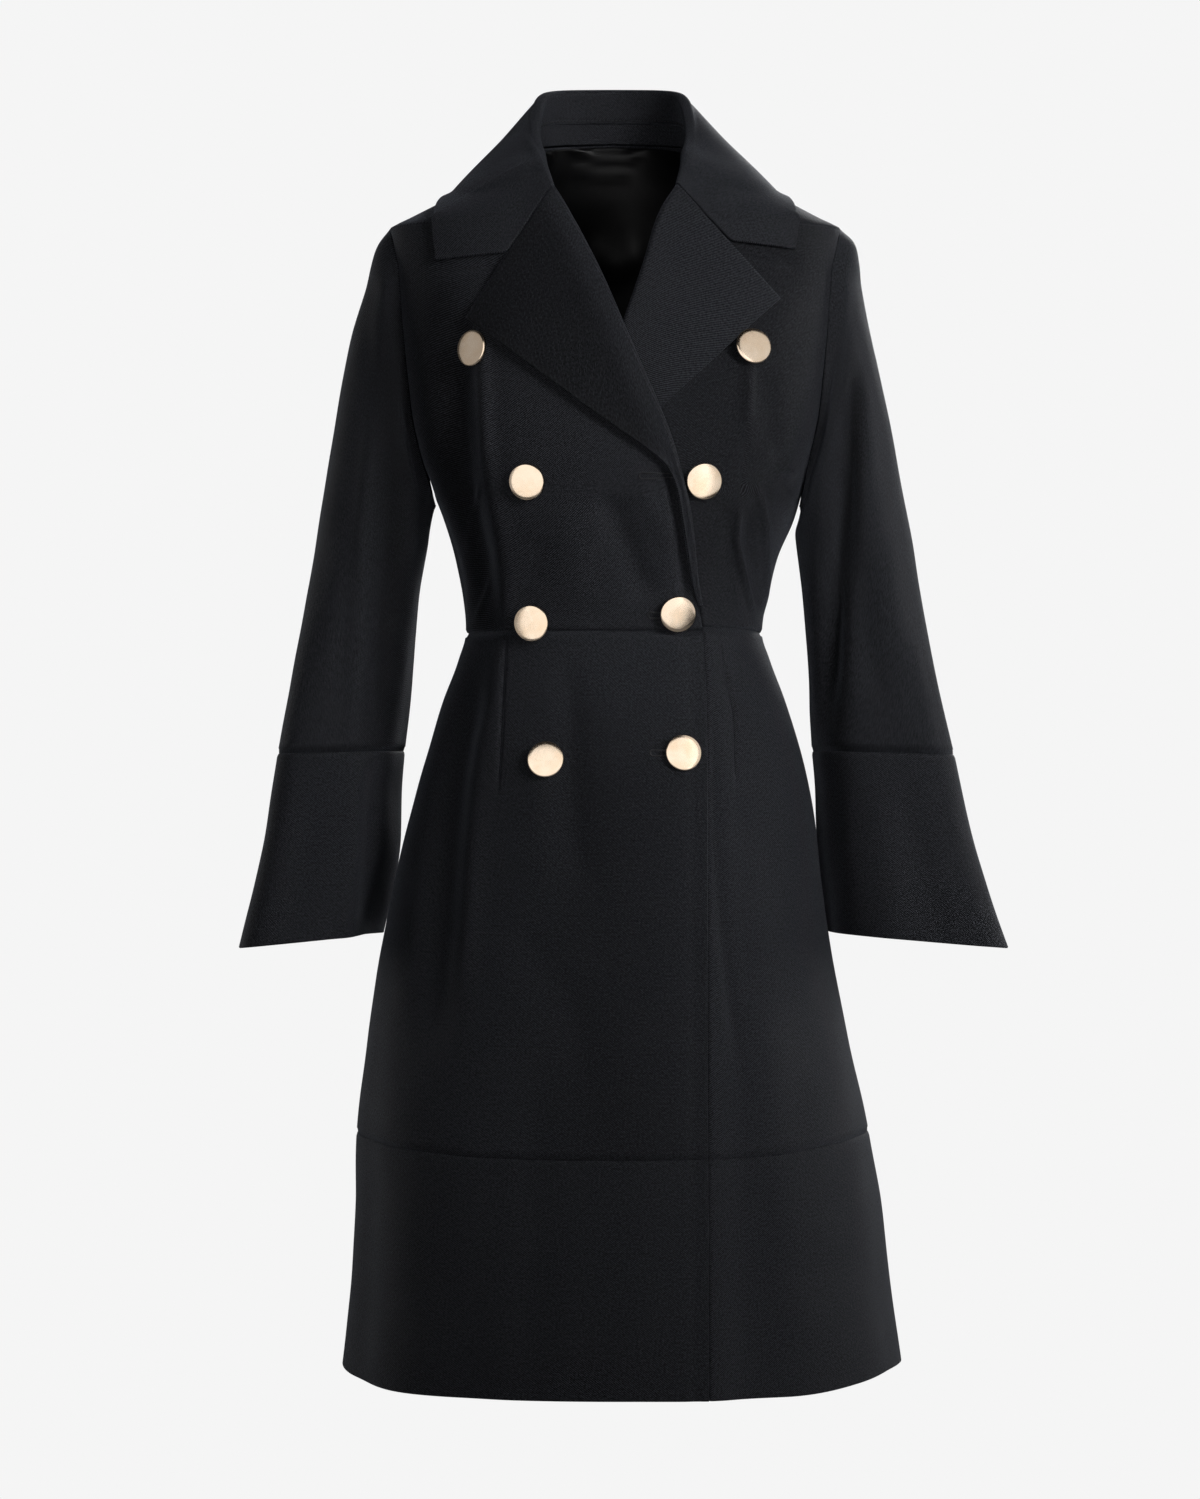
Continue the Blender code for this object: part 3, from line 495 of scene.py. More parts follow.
# Bands of painted shade in the cloth's colour where shade falls, with one painted highlight on the left
# sleeve: places along each, its width and its tone
PAINTED_SHADE_BANDS = {
    "right_front_bodice": (
        (((-152, 70), (-147, 200), (-136, 290), (-120, 370), (-112, 440)), 21, -0.16),
    ),
    "left_front_bodice": ((((128, -60), (118, 120), (112, 300), (106, 445)), 105, -0.12),),
    "right_front_skirt": ((((-20, 430), (0, 700), (10, 1010)), 80, -0.11),),
    "right_front_hem_band": ((((10, 640), (0, 880), (0, 1200)), 110, -0.06),),
    "right_sleeve": ((((-186, 60), (-188, 250), (-190, 400), (-192, 640)), 20, -0.2),),
    "right_cuff": ((((-186, 440), (-190, 560), (-196, 640), (-205, 800)), 11, -0.2),),
    "left_sleeve": (
        (((205, 120), (200, 270), (194, 348), (190, 440), (184, 640)), 9, -0.2),
        (((172, 200), (172, 325), (174, 400), (177, 640)), 8, 0.05),
    ),
}
# Painted shade on the right lapel, deepest away from its roll line: how far it lowers the tone, and the
# reach over which it grows
LAPEL_PAINTED_SHADE = 0.18
LAPEL_SHADE_REACH = 24.0

# Lining: its stand-off, foot and trims, and its soft folds across the back neck and down the back
LINING_LIFT = -4.5
LINING_FOOT = 404.0
LINING_TRIMS = (1.0, 1.0, 2.0, 2.0)
LINING_FOLDS = (
    (((-56, -18), (-34, -13), (-14, -8), (6, -8), (34, -13)), 3.2, 3.4),
    (((-61, -16), (-59, 0), (-54, 22)), 2.6, 2.8),
    (((-44, 0), (-14, 6), (20, 4)), 5, 1.6),
    (((-48, 10), (-40, 60), (-34, 130)), 12, 1.6),
    (((10, 24), (22, 90), (24, 180)), 14, 1.4),
)

# How folds fade at their ends, and how quickly front folds give way to back folds round the sides
FOLD_FADE = 0.22
BODY_TURN = 0.25
SLEEVE_TURN = 0.5

# Small unevenness of cloth all over, as two pairs of crossing waves
RIPPLES = (
    ("height", "across", "along", "shift", "cross_across", "cross_along", "cross_shift"),
    (0.3, 19, 43, 0, -57, 31, 1.3),
    (0.18, 9.5, -26, 0.7, 33, 17, 0),
)

# Lip of each closing edge, and the rise of the left front against the right one
LIP_HEIGHT = 0.9
LIP_WIDTH = 5.0
LIP_PRESS = 0.9
LIP_INSET = 12.0
LIP_LEAD = 60.0
LIP_FADE = 80.0
CLOSING_RISE = 2.8
CLOSING_CREVICE = 2.4
CLOSING_FLAT = 6.0
CLOSING_REACH = 26.0
CLOSING_TOP = 300.0
CLOSING_FADE = 60.0

# Buttons: plain disc, insets and rises of its face and back, then how it sits and its thread shank
BUTTON_RADIUS = 15.4
BUTTON_SIDES = 64
BUTTON_SIDE = 3.3
BUTTON_FACE = ((1.0, 0.3), (2.4, 0.2), (3.8, 0.16), (4.4, 0.08))
BUTTON_BACK = ((3.0, 0.0), (0.8, 0.7))
BUTTON_BEVEL = 0.9
BEVEL_STEPS = 3
RIM_SHARE = 0.999
LEVEL_FACE = 0.9
SMOOTH_ANGLE = 40.0
BUTTON_REACH = 9.0
BUTTON_LEAN = 0.6
CLEARANCE_STEP = 15
SHANK_RADIUS = 2.4
SHANK_SIDES = 16
SHANK_WAIST = 0.7
SHANK_FLARE = 1.5
SHANK_SINK = 0.4
SHANK_RISE = 0.8

# Worked buttonholes on the right front, by the middle of the round eye
BUTTONHOLES = (
    ("buttonhole_2", 22.0, 281.3),
    ("buttonhole_3", 29.5, 396.5),
    ("buttonhole_4", 31.0, 513.3),
)
HOLE_EYE = 2.6
HOLE_THREAD = 0.7
HOLE_LENGTH = 26.0
HOLE_NARROW = 0.6
HOLE_SEAT = 0.4
HOLE_SEGMENTS = 32
HOLE_THREAD_SEGMENTS = 8
HOLE_CUTS = 8

# Stitches inside the collar
STITCH_LENGTH = 2.6
STITCH_WIDTH = 0.8
STITCH_PITCH = 3.6
STITCH_RISE = 3.0
STITCH_REACH = 0.55
STITCH_PULL = 0.9
STITCH_AHEAD = 1.0
STITCH_SIDES = 8
STITCH_RINGS = 6

# Finishes: the dark and light colours of each, where these lie on the mask, its
# roughness, the strength of its relief and its other values
TWILL_VALUES = {
    "Specular IOR Level": 0.08,
    "Sheen Weight": 0.1,
    "Sheen Roughness": 0.35,
    "Sheen Tint": (0.75, 0.8, 0.95, 1.0),
}
FINISHES = {
    "coat_twill": (
        ((0.0010, 0.0011, 0.0014), (0.0350, 0.0366, 0.0430)), (0.5, 0.95), (0.62, 0.78), 0.9, TWILL_VALUES
    ),
    "lining_satin": (
        ((0.0012, 0.0012, 0.0014), (0.0035, 0.0035, 0.0038)), (0.5, 0.95), (0.36, 0.46), 0.12,
        {"Specular IOR Level": 0.12, "Anisotropic": 0.4},
    ),
    "sewing_thread": (
        ((0.003, 0.003, 0.004), (0.009, 0.009, 0.011)), (0.3, 0.7), (0.5, 0.65), 0.5,
        {"Specular IOR Level": 0.4},
    ),
    "button_gold": (
        ((0.91, 0.70, 0.50), (0.97, 0.79, 0.61)), (0.3, 0.6), (0.14, 0.2), 0.005, {"Metallic": 1.0}
    ),
}
MASK_RANGE = (0.25, 0.75)

# Weave sizes in metres, and the noises and waves of the finishes
TWILL_PITCH = 0.0013
TWILL_ANGLE = 0.95
WAVE_UNIT = 0.31416
RIB_SHARE = 0.42
BUMP_DEPTH = 0.0004
THREAD_TWIST = 0.0008
RIB_WAVE = {
    "Scale": WAVE_UNIT,
    "Distortion": 0.8,
    "Detail": 2.0,
    "Detail Scale": 1.6,
    "Detail Roughness": 0.6,
}
TWIST_WAVE = {"Scale": WAVE_UNIT / THREAD_TWIST, "Distortion": 0.6}
YARN_NOISE = {"Scale": 0.7, "Detail": 4.0, "Roughness": 0.7}
PATCH_NOISE = {"Scale": 14.0, "Detail": 5.0, "Roughness": 0.6}
FLECK_NOISE = {"Scale": 520.0, "Detail": 3.0, "Roughness": 0.7}
CLOUD_NOISE = {"Scale": 70.0, "Detail": 3.0, "Roughness": 0.5}
MARK_NOISE = {"Scale": 240.0, "Detail": 3.0, "Roughness": 0.5}

# Studio in metres: floor, surround, and lamps by place, aim, size, glow and spread in degrees. The
# softboxes light everything but the polished buttons, and the cards light only those
FLOOR_LEVEL = -1.57
FLOOR_RADIUS = 2.2
FLOOR_SIDES = 96
FLOOR_COLOUR = (0.78, 0.78, 0.78, 1.0)
FLOOR_ROUGHNESS = 0.9
FLOOR_GLOW = 1.08
SURROUND_SHOWN = (0.913, 0.913, 0.913, 1.0)
SURROUND_COLOUR = (0.96, 0.98, 1.0, 1.0)
SURROUND_AHEAD = 0.004
SURROUND_BEHIND = 0.06
SURROUND_BLEND = 0.35
SOFTBOXES = (
    ("key_softbox", (2.2, -2.3, 0.9), (0.0, 0.0, -0.15), (1.2, 1.4), 0.9, 34),
    ("side_softbox", (3.1, -1.45, -0.3), (0.0, 0.0, -0.3), (1.2, 1.4), 0.5, 55),
    ("front_softbox", (-0.4, -3.4, -0.3), (0.0, 0.0, -0.3), (1.2, 1.4), 0.55, 50),
    ("right_edge_softbox", (3.1, 1.45, -0.1), (0.0, 0.0, -0.2), (1.2, 1.4), 0.85, 50),
    ("back_softbox", (1.3, 3.0, 1.2), (0.0, 0.0, -0.3), (1.2, 1.4), 2.2, 70),
    ("left_edge_softbox", (-2.8, 1.95, -0.1), (0.0, 0.0, -0.2), (1.2, 1.4), 0.45, 50),
)
CARDS = (
    ("front_card", (-0.9, -4.7, -0.4), (-0.9, 0.0, -0.4), (7.8, 5.6), 1.12, 180),
    ("right_card", (3.8, -3.8, 0.7), (0.0, 0.0, -0.2), (3.2, 6.4), 0.68, 180),
    ("left_card", (-4.6, -1.9, -0.3), (0.0, 0.0, -0.3), (4.4, 4.6), 0.32, 180),
)

# Camera in metres
PIXEL_SIZE = 0.00086
IMAGE_HEIGHT = 1499
SENSOR_HEIGHT = 36.0
CAMERA_DISTANCE = 3.8
CAMERA_X = -0.0129
CAMERA_LEVEL = -0.5096

# Cut of each cloth piece that shows: width, length and area in metres, how it is held, what it rests on
CUTS = (
    ("right_front_bodice", 0.29, 0.53, 0.095, "hung", ("back_bodice", "left_front_bodice")),
    ("left_front_bodice", 0.285, 0.535, 0.091, "hung", ("back_bodice",)),
    ("right_lapel", 0.15, 0.40, 0.022, "folded", ("right_front_bodice",)),
    ("left_lapel", 0.14, 0.255, 0.019, "folded", ("left_front_bodice",)),
    ("back_bodice", 0.445, 0.52, 0.163, "hung", ("right_front_bodice", "left_front_bodice")),
    ("back_lining", 0.425, 0.505, 0.152, "hung", ("back_bodice",)),
    ("collar_stand", 0.018, 0.28, 0.0045, "stretched", ("back_bodice",)),
    ("collar", 0.155, 0.58, 0.067, "folded", ("collar_stand", "back_bodice")),
    ("right_sleeve", 0.56, 0.46, 0.115, "hung", ("right_front_bodice", "back_bodice")),
    ("left_sleeve", 0.555, 0.465, 0.118, "hung", ("left_front_bodice", "back_bodice")),
    ("right_cuff", 0.40, 0.17, 0.061, "hung", ("right_sleeve",)),
    ("left_cuff", 0.46, 0.175, 0.067, "hung", ("left_sleeve",)),
    ("right_front_skirt", 0.405, 0.445, 0.153, "hung", ("right_front_bodice",)),
    ("left_front_skirt", 0.395, 0.45, 0.15, "hung", ("left_front_bodice",)),
    ("back_skirt", 0.595, 0.44, 0.211, "hung", ("back_bodice",)),
    ("right_front_hem_band", 0.435, 0.20, 0.084, "hung", ("right_front_skirt",)),
    ("left_front_hem_band", 0.44, 0.20, 0.084, "hung", ("left_front_skirt",)),
    ("back_hem_band", 0.66, 0.20, 0.126, "hung", ("back_skirt",)),
)


def column(table, name, at):
    """Read a named column of a table as a smooth curve over the first column."""
    rows = np.array(table[1:], float)
    knots = rows[:, 0]
    values = rows[:, table[0].index(name)]
    step = np.diff(knots)
    slope = np.diff(values) / step
    tangent = np.zeros_like(values)
    tangent[0] = slope[0]
    tangent[-1] = slope[-1]
    for row in range(1, len(values) - 1):
        before, after = slope[row - 1], slope[row]
        if before * after > 0:
            near = 2 * step[row] + step[row - 1]
            far = step[row] + 2 * step[row - 1]
            tangent[row] = (near + far) / (near / before + far / after)
    at = np.clip(np.asarray(at, float), knots[0], knots[-1])
    row = np.clip(np.searchsorted(knots, at, side="right") - 1, 0, len(step) - 1)
    part = (at - knots[row]) / step[row]
    blend = part * part * (3 - 2 * part)
    rise = part * (1 - part) ** 2 * tangent[row] - part * part * (1 - part) * tangent[row + 1]
    return values[row] * (1 - blend) + values[row + 1] * blend + rise * step[row]


def ease(value):
    """Turn a straight ramp into one with soft ends."""
    value = np.clip(value, 0.0, 1.0)
    return value * value * (3 - 2 * value)


def unit(vectors):
    """Bring vectors to length one."""
    return vectors / np.maximum(np.linalg.norm(vectors, axis=-1, keepdims=True), 1e-9)


def surface(angle, drop):
    """Point of the figure at an angle from the centre front and at a drop."""
    angle, drop = np.broadcast_arrays(np.asarray(angle, float), np.asarray(drop, float))
    turn = np.radians(angle)
    sine, cosine = np.sin(turn), np.cos(turn)
    ahead = cosine > 0
    depth = np.where(ahead, column(FIGURE, "front", drop), column(FIGURE, "back", drop))
    square = np.where(ahead, column(FIGURE, "front_square", drop), column(FIGURE, "back_square", drop))
    scale = (np.abs(sine) ** square + np.abs(cosine) ** square) ** (-1 / square)
    x = column(FIGURE, "half_width", drop) * scale * sine
    y = -depth * scale * cosine
    flare = np.zeros_like(drop)
    for centre, spread, height in FLARES[1:]:
        away = (angle - centre + 180) % 360 - 180
        flare += height * np.exp(-((away / spread) ** 2))
    reach = 1 + flare * ease((drop - FLARE_TOP) / (HEM_DROP - FLARE_TOP)) / np.hypot(x, y)
    return np.stack([x * reach + column(FIGURE, "shift", drop), y * reach, -drop], axis=-1)


def cloth(angle, drop, lift):
    """Point of a cloth layer that stands off the figure by a lift."""
    angle, drop = np.asarray(angle), np.asarray(drop)
    across = surface(angle + ANGLE_STEP, drop) - surface(angle - ANGLE_STEP, drop)
    down = surface(angle, drop + DROP_STEP) - surface(angle, drop - DROP_STEP)
    return surface(angle, drop) + unit(np.cross(down, across)) * np.asarray(lift, float)[..., None]


def front_angle(x, drop):
    """Angle at which the front of the figure has a given sideways place."""
    share = (np.asarray(x, float) - column(FIGURE, "shift", drop)) / column(FIGURE, "half_width", drop)
    square = column(FIGURE, "front_square", drop)
    share = np.clip(share, -FRONT_LIMIT, FRONT_LIMIT)
    return np.degrees(np.arctan2(share, (1 - np.abs(share) ** square) ** (1 / square)))


def lap_lift(x, drop):
    """Stand-off of the right front over the pieces that lie under it."""
    below = ease((drop - LAP_TOP) / (LAP_TOP_FULL - LAP_TOP))
    lap = ease((x - LAP_START) / (LAP_FULL - LAP_START))
    away_x = (x - UNDERLAP_CENTRE[0]) / UNDERLAP_SPREAD[0]
    away_drop = (drop - UNDERLAP_CENTRE[1]) / UNDERLAP_SPREAD[1]
    under = np.exp(-away_x * away_x - away_drop * away_drop)
    return below * (LAP_LIFT * lap + UNDERLAP_LIFT * under)


def front_lift(side, x, drop):
    """Stand-off of one front panel at a place on it."""
    if side == "right":
        return lap_lift(np.asarray(x, float), np.asarray(drop, float))
    return np.zeros(np.broadcast(x, drop).shape)


def on_front(side, x, drop, lift):
    """Point over a front panel, by its sideways place, its drop and its height over the panel."""
    return cloth(front_angle(x, drop), drop, front_lift(side, x, drop) + lift)


def spaced(count):
    """Places from 0 to 1 with one more line of points close to each end."""
    inner = np.linspace(0.0, 1.0, count)[1:-1]
    return np.concatenate([[0.0, EDGE_SHARE], inner, [1 - EDGE_SHARE, 1.0]])


def gathered(count):
    """Places from 0 to 1, closer together towards both ends."""
    even = np.linspace(0.0, 1.0, count)
    return even - GATHER * np.sin(2 * np.pi * even) / (2 * np.pi)


def fold_height(folds, x, drop):
    """Height that a set of folds adds to the cloth, each one fading out at its ends."""
    total = np.zeros(np.broadcast(x, drop).shape)
    for line, width, height in folds:
        line = np.array(line, float)
        legs = np.diff(line, axis=0)
        lengths = np.linalg.norm(legs, axis=1)
        reached = np.cumsum(lengths) - lengths
        nearest = np.full(total.shape, np.inf)
        share = np.zeros(total.shape)
        for start, leg, length, before in zip(line, legs, lengths, reached):
            along = ((x - start[0]) * leg[0] + (drop - start[1]) * leg[1]) / length ** 2
            along = np.clip(along, 0.0, 1.0)
            away = np.hypot(x - start[0] - along * leg[0], drop - start[1] - along * leg[1])
            closer = away < nearest
            nearest = np.where(closer, away, nearest)
            share = np.where(closer, (before + along * length) / lengths.sum(), share)
        fade = ease(share / FOLD_FADE) * ease((1 - share) / FOLD_FADE)
        total += height * fade * np.exp(-((nearest / width) ** 2))
    return total


def ripple(x, drop):
    """Slight unevenness of hanging cloth."""
    total = np.zeros(np.broadcast(x, drop).shape)
    for height, across, along, shift, cross_across, cross_along, cross_shift in RIPPLES[1:]:
        crossing = np.sin(x / cross_across + drop / cross_along + cross_shift)
        total += height * np.sin(x / across + drop / along + shift) * crossing
    return total


def front_dart(side):
    """Dart of a front skirt as a sunk line down from the waist seam."""
    start, finish, width, height = FRONT_DARTS[side]
    levels = np.linspace(start, finish, DART_POINTS)
    line = np.stack([column(GATHER_LINES[side + "_skirt"], "x", levels), levels], axis=1)
    return line, width, height


def body_folds(side, angle, drop):
    """Height of folds and darts at a place on a front or on the back."""
    x = surface(angle, drop)[..., 0]
    ahead = ease(np.cos(np.radians(angle)) / BODY_TURN + 0.5)
    right = fold_height((*RIGHT_FOLDS, front_dart("right")), x, drop)
    left = fold_height((*LEFT_FOLDS, front_dart("left")), x, drop)
    if side == "right":
        front = right
    elif side == "left":
        under = x < column(FRONT_EDGE, "right", drop)
        front = np.where(under, np.minimum(right, 0.0), left)
    else:
        front = np.where(x < 0, right, left)
    back = fold_height(BACK_FOLDS + BACK_DARTS, x, drop)
    return front * ahead + back * (1 - ahead) + ripple(x, drop)


def closing_rise(x, drop):
    """Rise of the left front against the closing edge of the right one, with a crevice between them."""
    away = x - column(FRONT_EDGE, "right", drop)
    rise = ease(away / CLOSING_CREVICE) * (1 - ease((away - CLOSING_FLAT) / CLOSING_REACH))
    return CLOSING_RISE * rise * ease((drop - CLOSING_TOP) / CLOSING_FADE)


def edge_lip(side, angle, drop):
    """Pressed lip along the closing edge of a front."""
    edge = column(FRONT_EDGE, side, drop)
    away = np.abs(surface(angle, drop)[..., 0] - edge)
    lip = LIP_HEIGHT * np.exp(-((away / LIP_WIDTH) ** 2))
    press = LIP_PRESS * np.exp(-(((away - LIP_INSET) / LIP_WIDTH) ** 2))
    return (lip - press) * ease((drop - LAPEL_FOOT[side] + LIP_LEAD) / LIP_FADE)


def set_back(grid, trims, tube):
    """Move the border lines of a grid inward, never past the line beside them."""
    grid = grid.copy()
    head, foot, start, end = trims
    borders = [(grid[0], grid[1], head), (grid[-1], grid[-2], foot)]
    if not tube:
        borders += [(grid[:, 0], grid[:, 1], start), (grid[:, -1], grid[:, -2], end)]
    for border, beside, trim in borders:
        way = beside - border
        length = np.maximum(np.linalg.norm(way, axis=-1, keepdims=True), 1e-6)
        border += way / length * np.minimum(trim, TRIM_LIMIT * length)
    return grid


def grid_normal(grid, tube):
    """Direction across the cloth at every point of a grid."""
    down = np.gradient(grid, axis=0)
    if tube:
        across = np.roll(grid, -1, axis=1) - np.roll(grid, 1, axis=1)
    else:
        across = np.gradient(grid, axis=1)
    return unit(np.cross(down, across))


def weave_places(grid, normal, tube):
    """Places on the flat cloth in metres, across and along, with the same weave on every piece."""
    closed = np.concatenate([grid, grid[:, :1]], axis=1) if tube else grid
    across = np.linalg.norm(np.diff(closed, axis=1), axis=-1)
    across = np.concatenate([np.zeros((len(grid), 1)), np.cumsum(across, axis=1)], axis=1)
    along = np.linalg.norm(np.diff(closed, axis=0), axis=-1)
    along = np.concatenate([np.zeros((1, closed.shape[1])), np.cumsum(along, axis=0)], axis=0)
    across -= across[:, -1:] / 2
    return np.stack([outward_sign(grid, normal) * across, -along], axis=-1) * METRES


def outward_sign(grid, normal):
    """One where the normals of a grid point away from its middle, and minus one otherwise."""
    outward = grid - grid.mean(axis=(0, 1))
    return 1.0 if (normal * outward).sum() > 0 else -1.0


def sunk_seams(grid, normal, depths):
    """Sink the cloth a little beside the seams at its head and foot."""
    grid = grid.copy()
    for border, beside, depth in ((0, 1, depths[0]), (-1, -2, depths[1])):
        for row, part in ((border, 1.0), (beside, SINK_BESIDE)):
            grid[row] -= outward_sign(grid, normal) * normal[row] * depth * part
    return grid


def painted_shade_at(node, points):
    """Painted shade that lowers the tone of a piece at each of its points; one band on the left sleeve is
    a painted highlight that raises it.
    """
    x, drop = points[:, 0], -points[:, 2]
    if node == "right_lapel":
        return -LAPEL_PAINTED_SHADE * ease((column(FRONT_EDGE, "right", drop) - x) / LAPEL_SHADE_REACH)
    return fold_height(PAINTED_SHADE_BANDS.get(node, ()), x, drop)


def add_cloth(node, grid, wall, trims, fabric, tube=False, sunk=(0.0, 0.0)):
    """Make a closed thin shell with rounded edges in place of a cloth node."""
    rows, columns = grid.shape[:2]
    normal = grid_normal(grid, tube)
    flat = weave_places(grid, normal, tube)
    grid = sunk_seams(grid, normal, sunk)
    rim = set_back(grid, trims, tube)
    body = set_back(grid, [trim + (SEAM_ROUND if trim < 0 else EDGE_ROUND) for trim in trims], tube)
    count = rows * columns
    points = [(body + normal * wall / 2).reshape(-1, 3), (body - normal * wall / 2).reshape(-1, 3)]
    ids = np.arange(count).reshape(rows, columns)
    if tube:
        ids = np.concatenate([ids, ids[:, :1]], axis=1)
    corners = [np.s_[:-1, :-1], np.s_[1:, :-1], np.s_[1:, 1:], np.s_[:-1, 1:]]
    outer = np.stack([ids[corner] for corner in corners], axis=-1).reshape(-1, 4)
    places = np.stack([flat[corner] for corner in corners], axis=-2).reshape(-1, 4, 2)
    faces = [outer, outer[:, ::-1] + count]
    weave = [places, places[:, ::-1]]
    if tube:
        borders = [(ids[0], flat[0]), (ids[-1, ::-1], flat[-1, ::-1])]
    else:
        turn = [np.s_[::-1, 0], np.s_[0, 1:], np.s_[1:, -1], np.s_[-1, -2::-1]]
        borders = [[np.concatenate([whole[part] for part in turn]) for whole in (ids, flat)]]
    taken = 2 * count
    for border, border_flat in borders:
        steps = len(border) - 1
        edge = taken + np.arange(steps + 1) % steps
        points.append(rim.reshape(-1, 3)[border[:-1]])
        taken += steps
        faces.append(np.stack([border[:-1], border[1:], edge[1:], edge[:-1]], axis=-1))
        faces.append(np.stack([edge[:-1], edge[1:], border[1:] + count, border[:-1] + count], axis=-1))
        near, far = border_flat[:-1], border_flat[1:]
        weave += [np.stack([near, far, far, near], axis=1)] * 2
    mesh = bpy.data.meshes.new(node + "_cloth")
    mesh.from_pydata((np.concatenate(points) * METRES).tolist(), [], np.concatenate(faces).tolist())
    layer = mesh.uv_layers.new(name="weave")
    layer.data.foreach_set("uv", np.concatenate(weave).ravel())
    # Painted shade, with one painted highlight, kept on the points for the cloth's colour
    painted_shade = mesh.attributes.new("painted_shade", "FLOAT", "POINT")
    painted_shade.data.foreach_set("value", painted_shade_at(node, np.concatenate(points)))
    mesh.shade_smooth()
    mesh.materials.append(fabric)
    piece = bpy.data.objects.new(node + "_cloth", mesh)
    bpy.context.scene.collection.objects.link(piece)
    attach(piece, "root")
    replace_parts(piece, node)
    return piece


def armhole_levels():
    """Drops of the rows that meet the armhole, closer together at its top and foot."""
    turn = np.linspace(0.0, np.pi, ARMHOLE_STEPS + 1)
    return ARMHOLE_TOP + (ARMHOLE_FOOT - ARMHOLE_TOP) * (1 - np.cos(turn)) / 2


def bodice_levels():
    """Drops of the rows of the bodice from the shoulder to the waist."""
    shoulder = np.linspace(SHOULDER_DROP, ARMHOLE_TOP, SHOULDER_ROWS)[:-1]
    side = ARMHOLE_FOOT + (WAIST_DROP - ARMHOLE_FOOT) * spaced(SIDE_ROWS)[2:]
    return np.concatenate([shoulder, armhole_levels(), side])


def edge_angle(side, drop):
    """Angle of the free edge of a front panel: neck seam, roll line, then closing edge."""
    neck = SIGN[side] * column(NECK_FRONT, "angle", drop)
    edge = front_angle(column(FRONT_EDGE, side, drop), drop)
    return np.where(np.asarray(drop) < NECK_FRONT[-1][0], neck, edge)


def front_panel(side, angle, drop):
    """Cloth of a front panel with its folds, darts and edge lip."""
    x = surface(angle, drop)[..., 0]
    lift = front_lift(side, x, drop) + body_folds(side, angle, drop) + edge_lip(side, angle, drop)
    if side == "left":
        lift = lift + closing_rise(x, drop)
    return cloth(angle, drop, lift)


def front_columns(side, part, drop, outside, edge):
    """Angles of the columns of a front panel, gathered along its fold or dart and the closing edge."""
    lines = [column(GATHER_LINES[side + "_" + part], "x", drop)]
    if side == "left":
        lines.append(column(FRONT_EDGE, "right", drop))
    shares = [np.zeros_like(drop)]
    for line, limit in zip(lines, SPAN_LIMITS):
        share = (front_angle(line, drop) - outside) / (edge - outside)
        shares.append(np.clip(share, shares[-1] + SPAN_LEAST, limit))
    shares.append(np.ones_like(drop))
    across = [shares[0]]
    for start, end, count in zip(shares, shares[1:], FRONT_SPANS[side]):
        across.append(start + (end - start) * gathered(count)[None, 1:])
    return outside + (edge - outside) * np.concatenate(across, axis=1)


def front_grid(side, top, bottom, rows):
    """Angles and drops of a front panel between two seams."""
    down = spaced(rows)[:, None]
    start, end = column(top, "drop", 0.0), column(bottom, "drop", 0.0)
    level = start + (end - start) * down
    edge = front_angle(column(FRONT_EDGE, side, level), level)
    angle = front_columns(side, "skirt", level, SIGN[side] * SIDE_ANGLE, edge)
    drop = column(top, "drop", angle) * (1 - down) + column(bottom, "drop", angle) * down
    return angle, drop


def add_front(side, twill):
    """Bodice front, skirt front and hem band of one side."""
    seams, hemmed = (-TUCK, -TUCK, -TUCK, 0.0), (-TUCK, 0.0, -TUCK, 0.0)
    level = bodice_levels()[:, None]
    outside = SIGN[side] * column(ARMHOLE, "front", level)
    angle = front_columns(side, "bodice", level, outside, edge_angle(side, level))
    sink = column(WAIST_SEAM[side], "drop", angle) - WAIST_DROP
    drop = level + sink * ease((level - WAIST_DROP + WAIST_BLEND) / WAIST_BLEND)
    bodice = front_panel(side, angle, drop)
    add_cloth(side + "_front_bodice", bodice, WALL, seams, twill, sunk=(0.0, WAIST_SINK))
    angle, drop = front_grid(side, WAIST_SEAM[side], BAND_SEAM, SKIRT_ROWS)
    skirt = front_panel(side, angle, drop)
    add_cloth(side + "_front_skirt", skirt, WALL, seams, twill, sunk=(WAIST_SINK, SEAM_SINK))
    angle, drop = front_grid(side, BAND_SEAM, HEM_SEAM, BAND_ROWS)
    band = front_panel(side, angle, drop)
    add_cloth(side + "_front_hem_band", band, WALL, hemmed, twill, sunk=(SEAM_SINK, 0.0))


def back_bodice_grid(levels, columns):
    """Angles and drops of the back bodice, from the shoulders and neck down to the waist."""
    across = spaced(columns)[None, :]
    level = np.array(levels, float)[:, None]
    side = column(ARMHOLE, "back", level)
    angle = side + (360 - 2 * side) * across
    turned = np.where(angle > 180, 360 - angle, angle)
    fade = 1 - ease(level / NECK_FADE)
    return angle, level + column(NECK, "drop", np.maximum(turned, 90)) * fade


def back_grid(top, bottom, rows):
    """Angles and drops of a back panel between two levels."""
    angle = SIDE_ANGLE + (360 - 2 * SIDE_ANGLE) * spaced(BACK_COLUMNS)[None, :]
    drop = top + (bottom - top) * spaced(rows)[:, None]
    return np.broadcast_arrays(angle, drop)


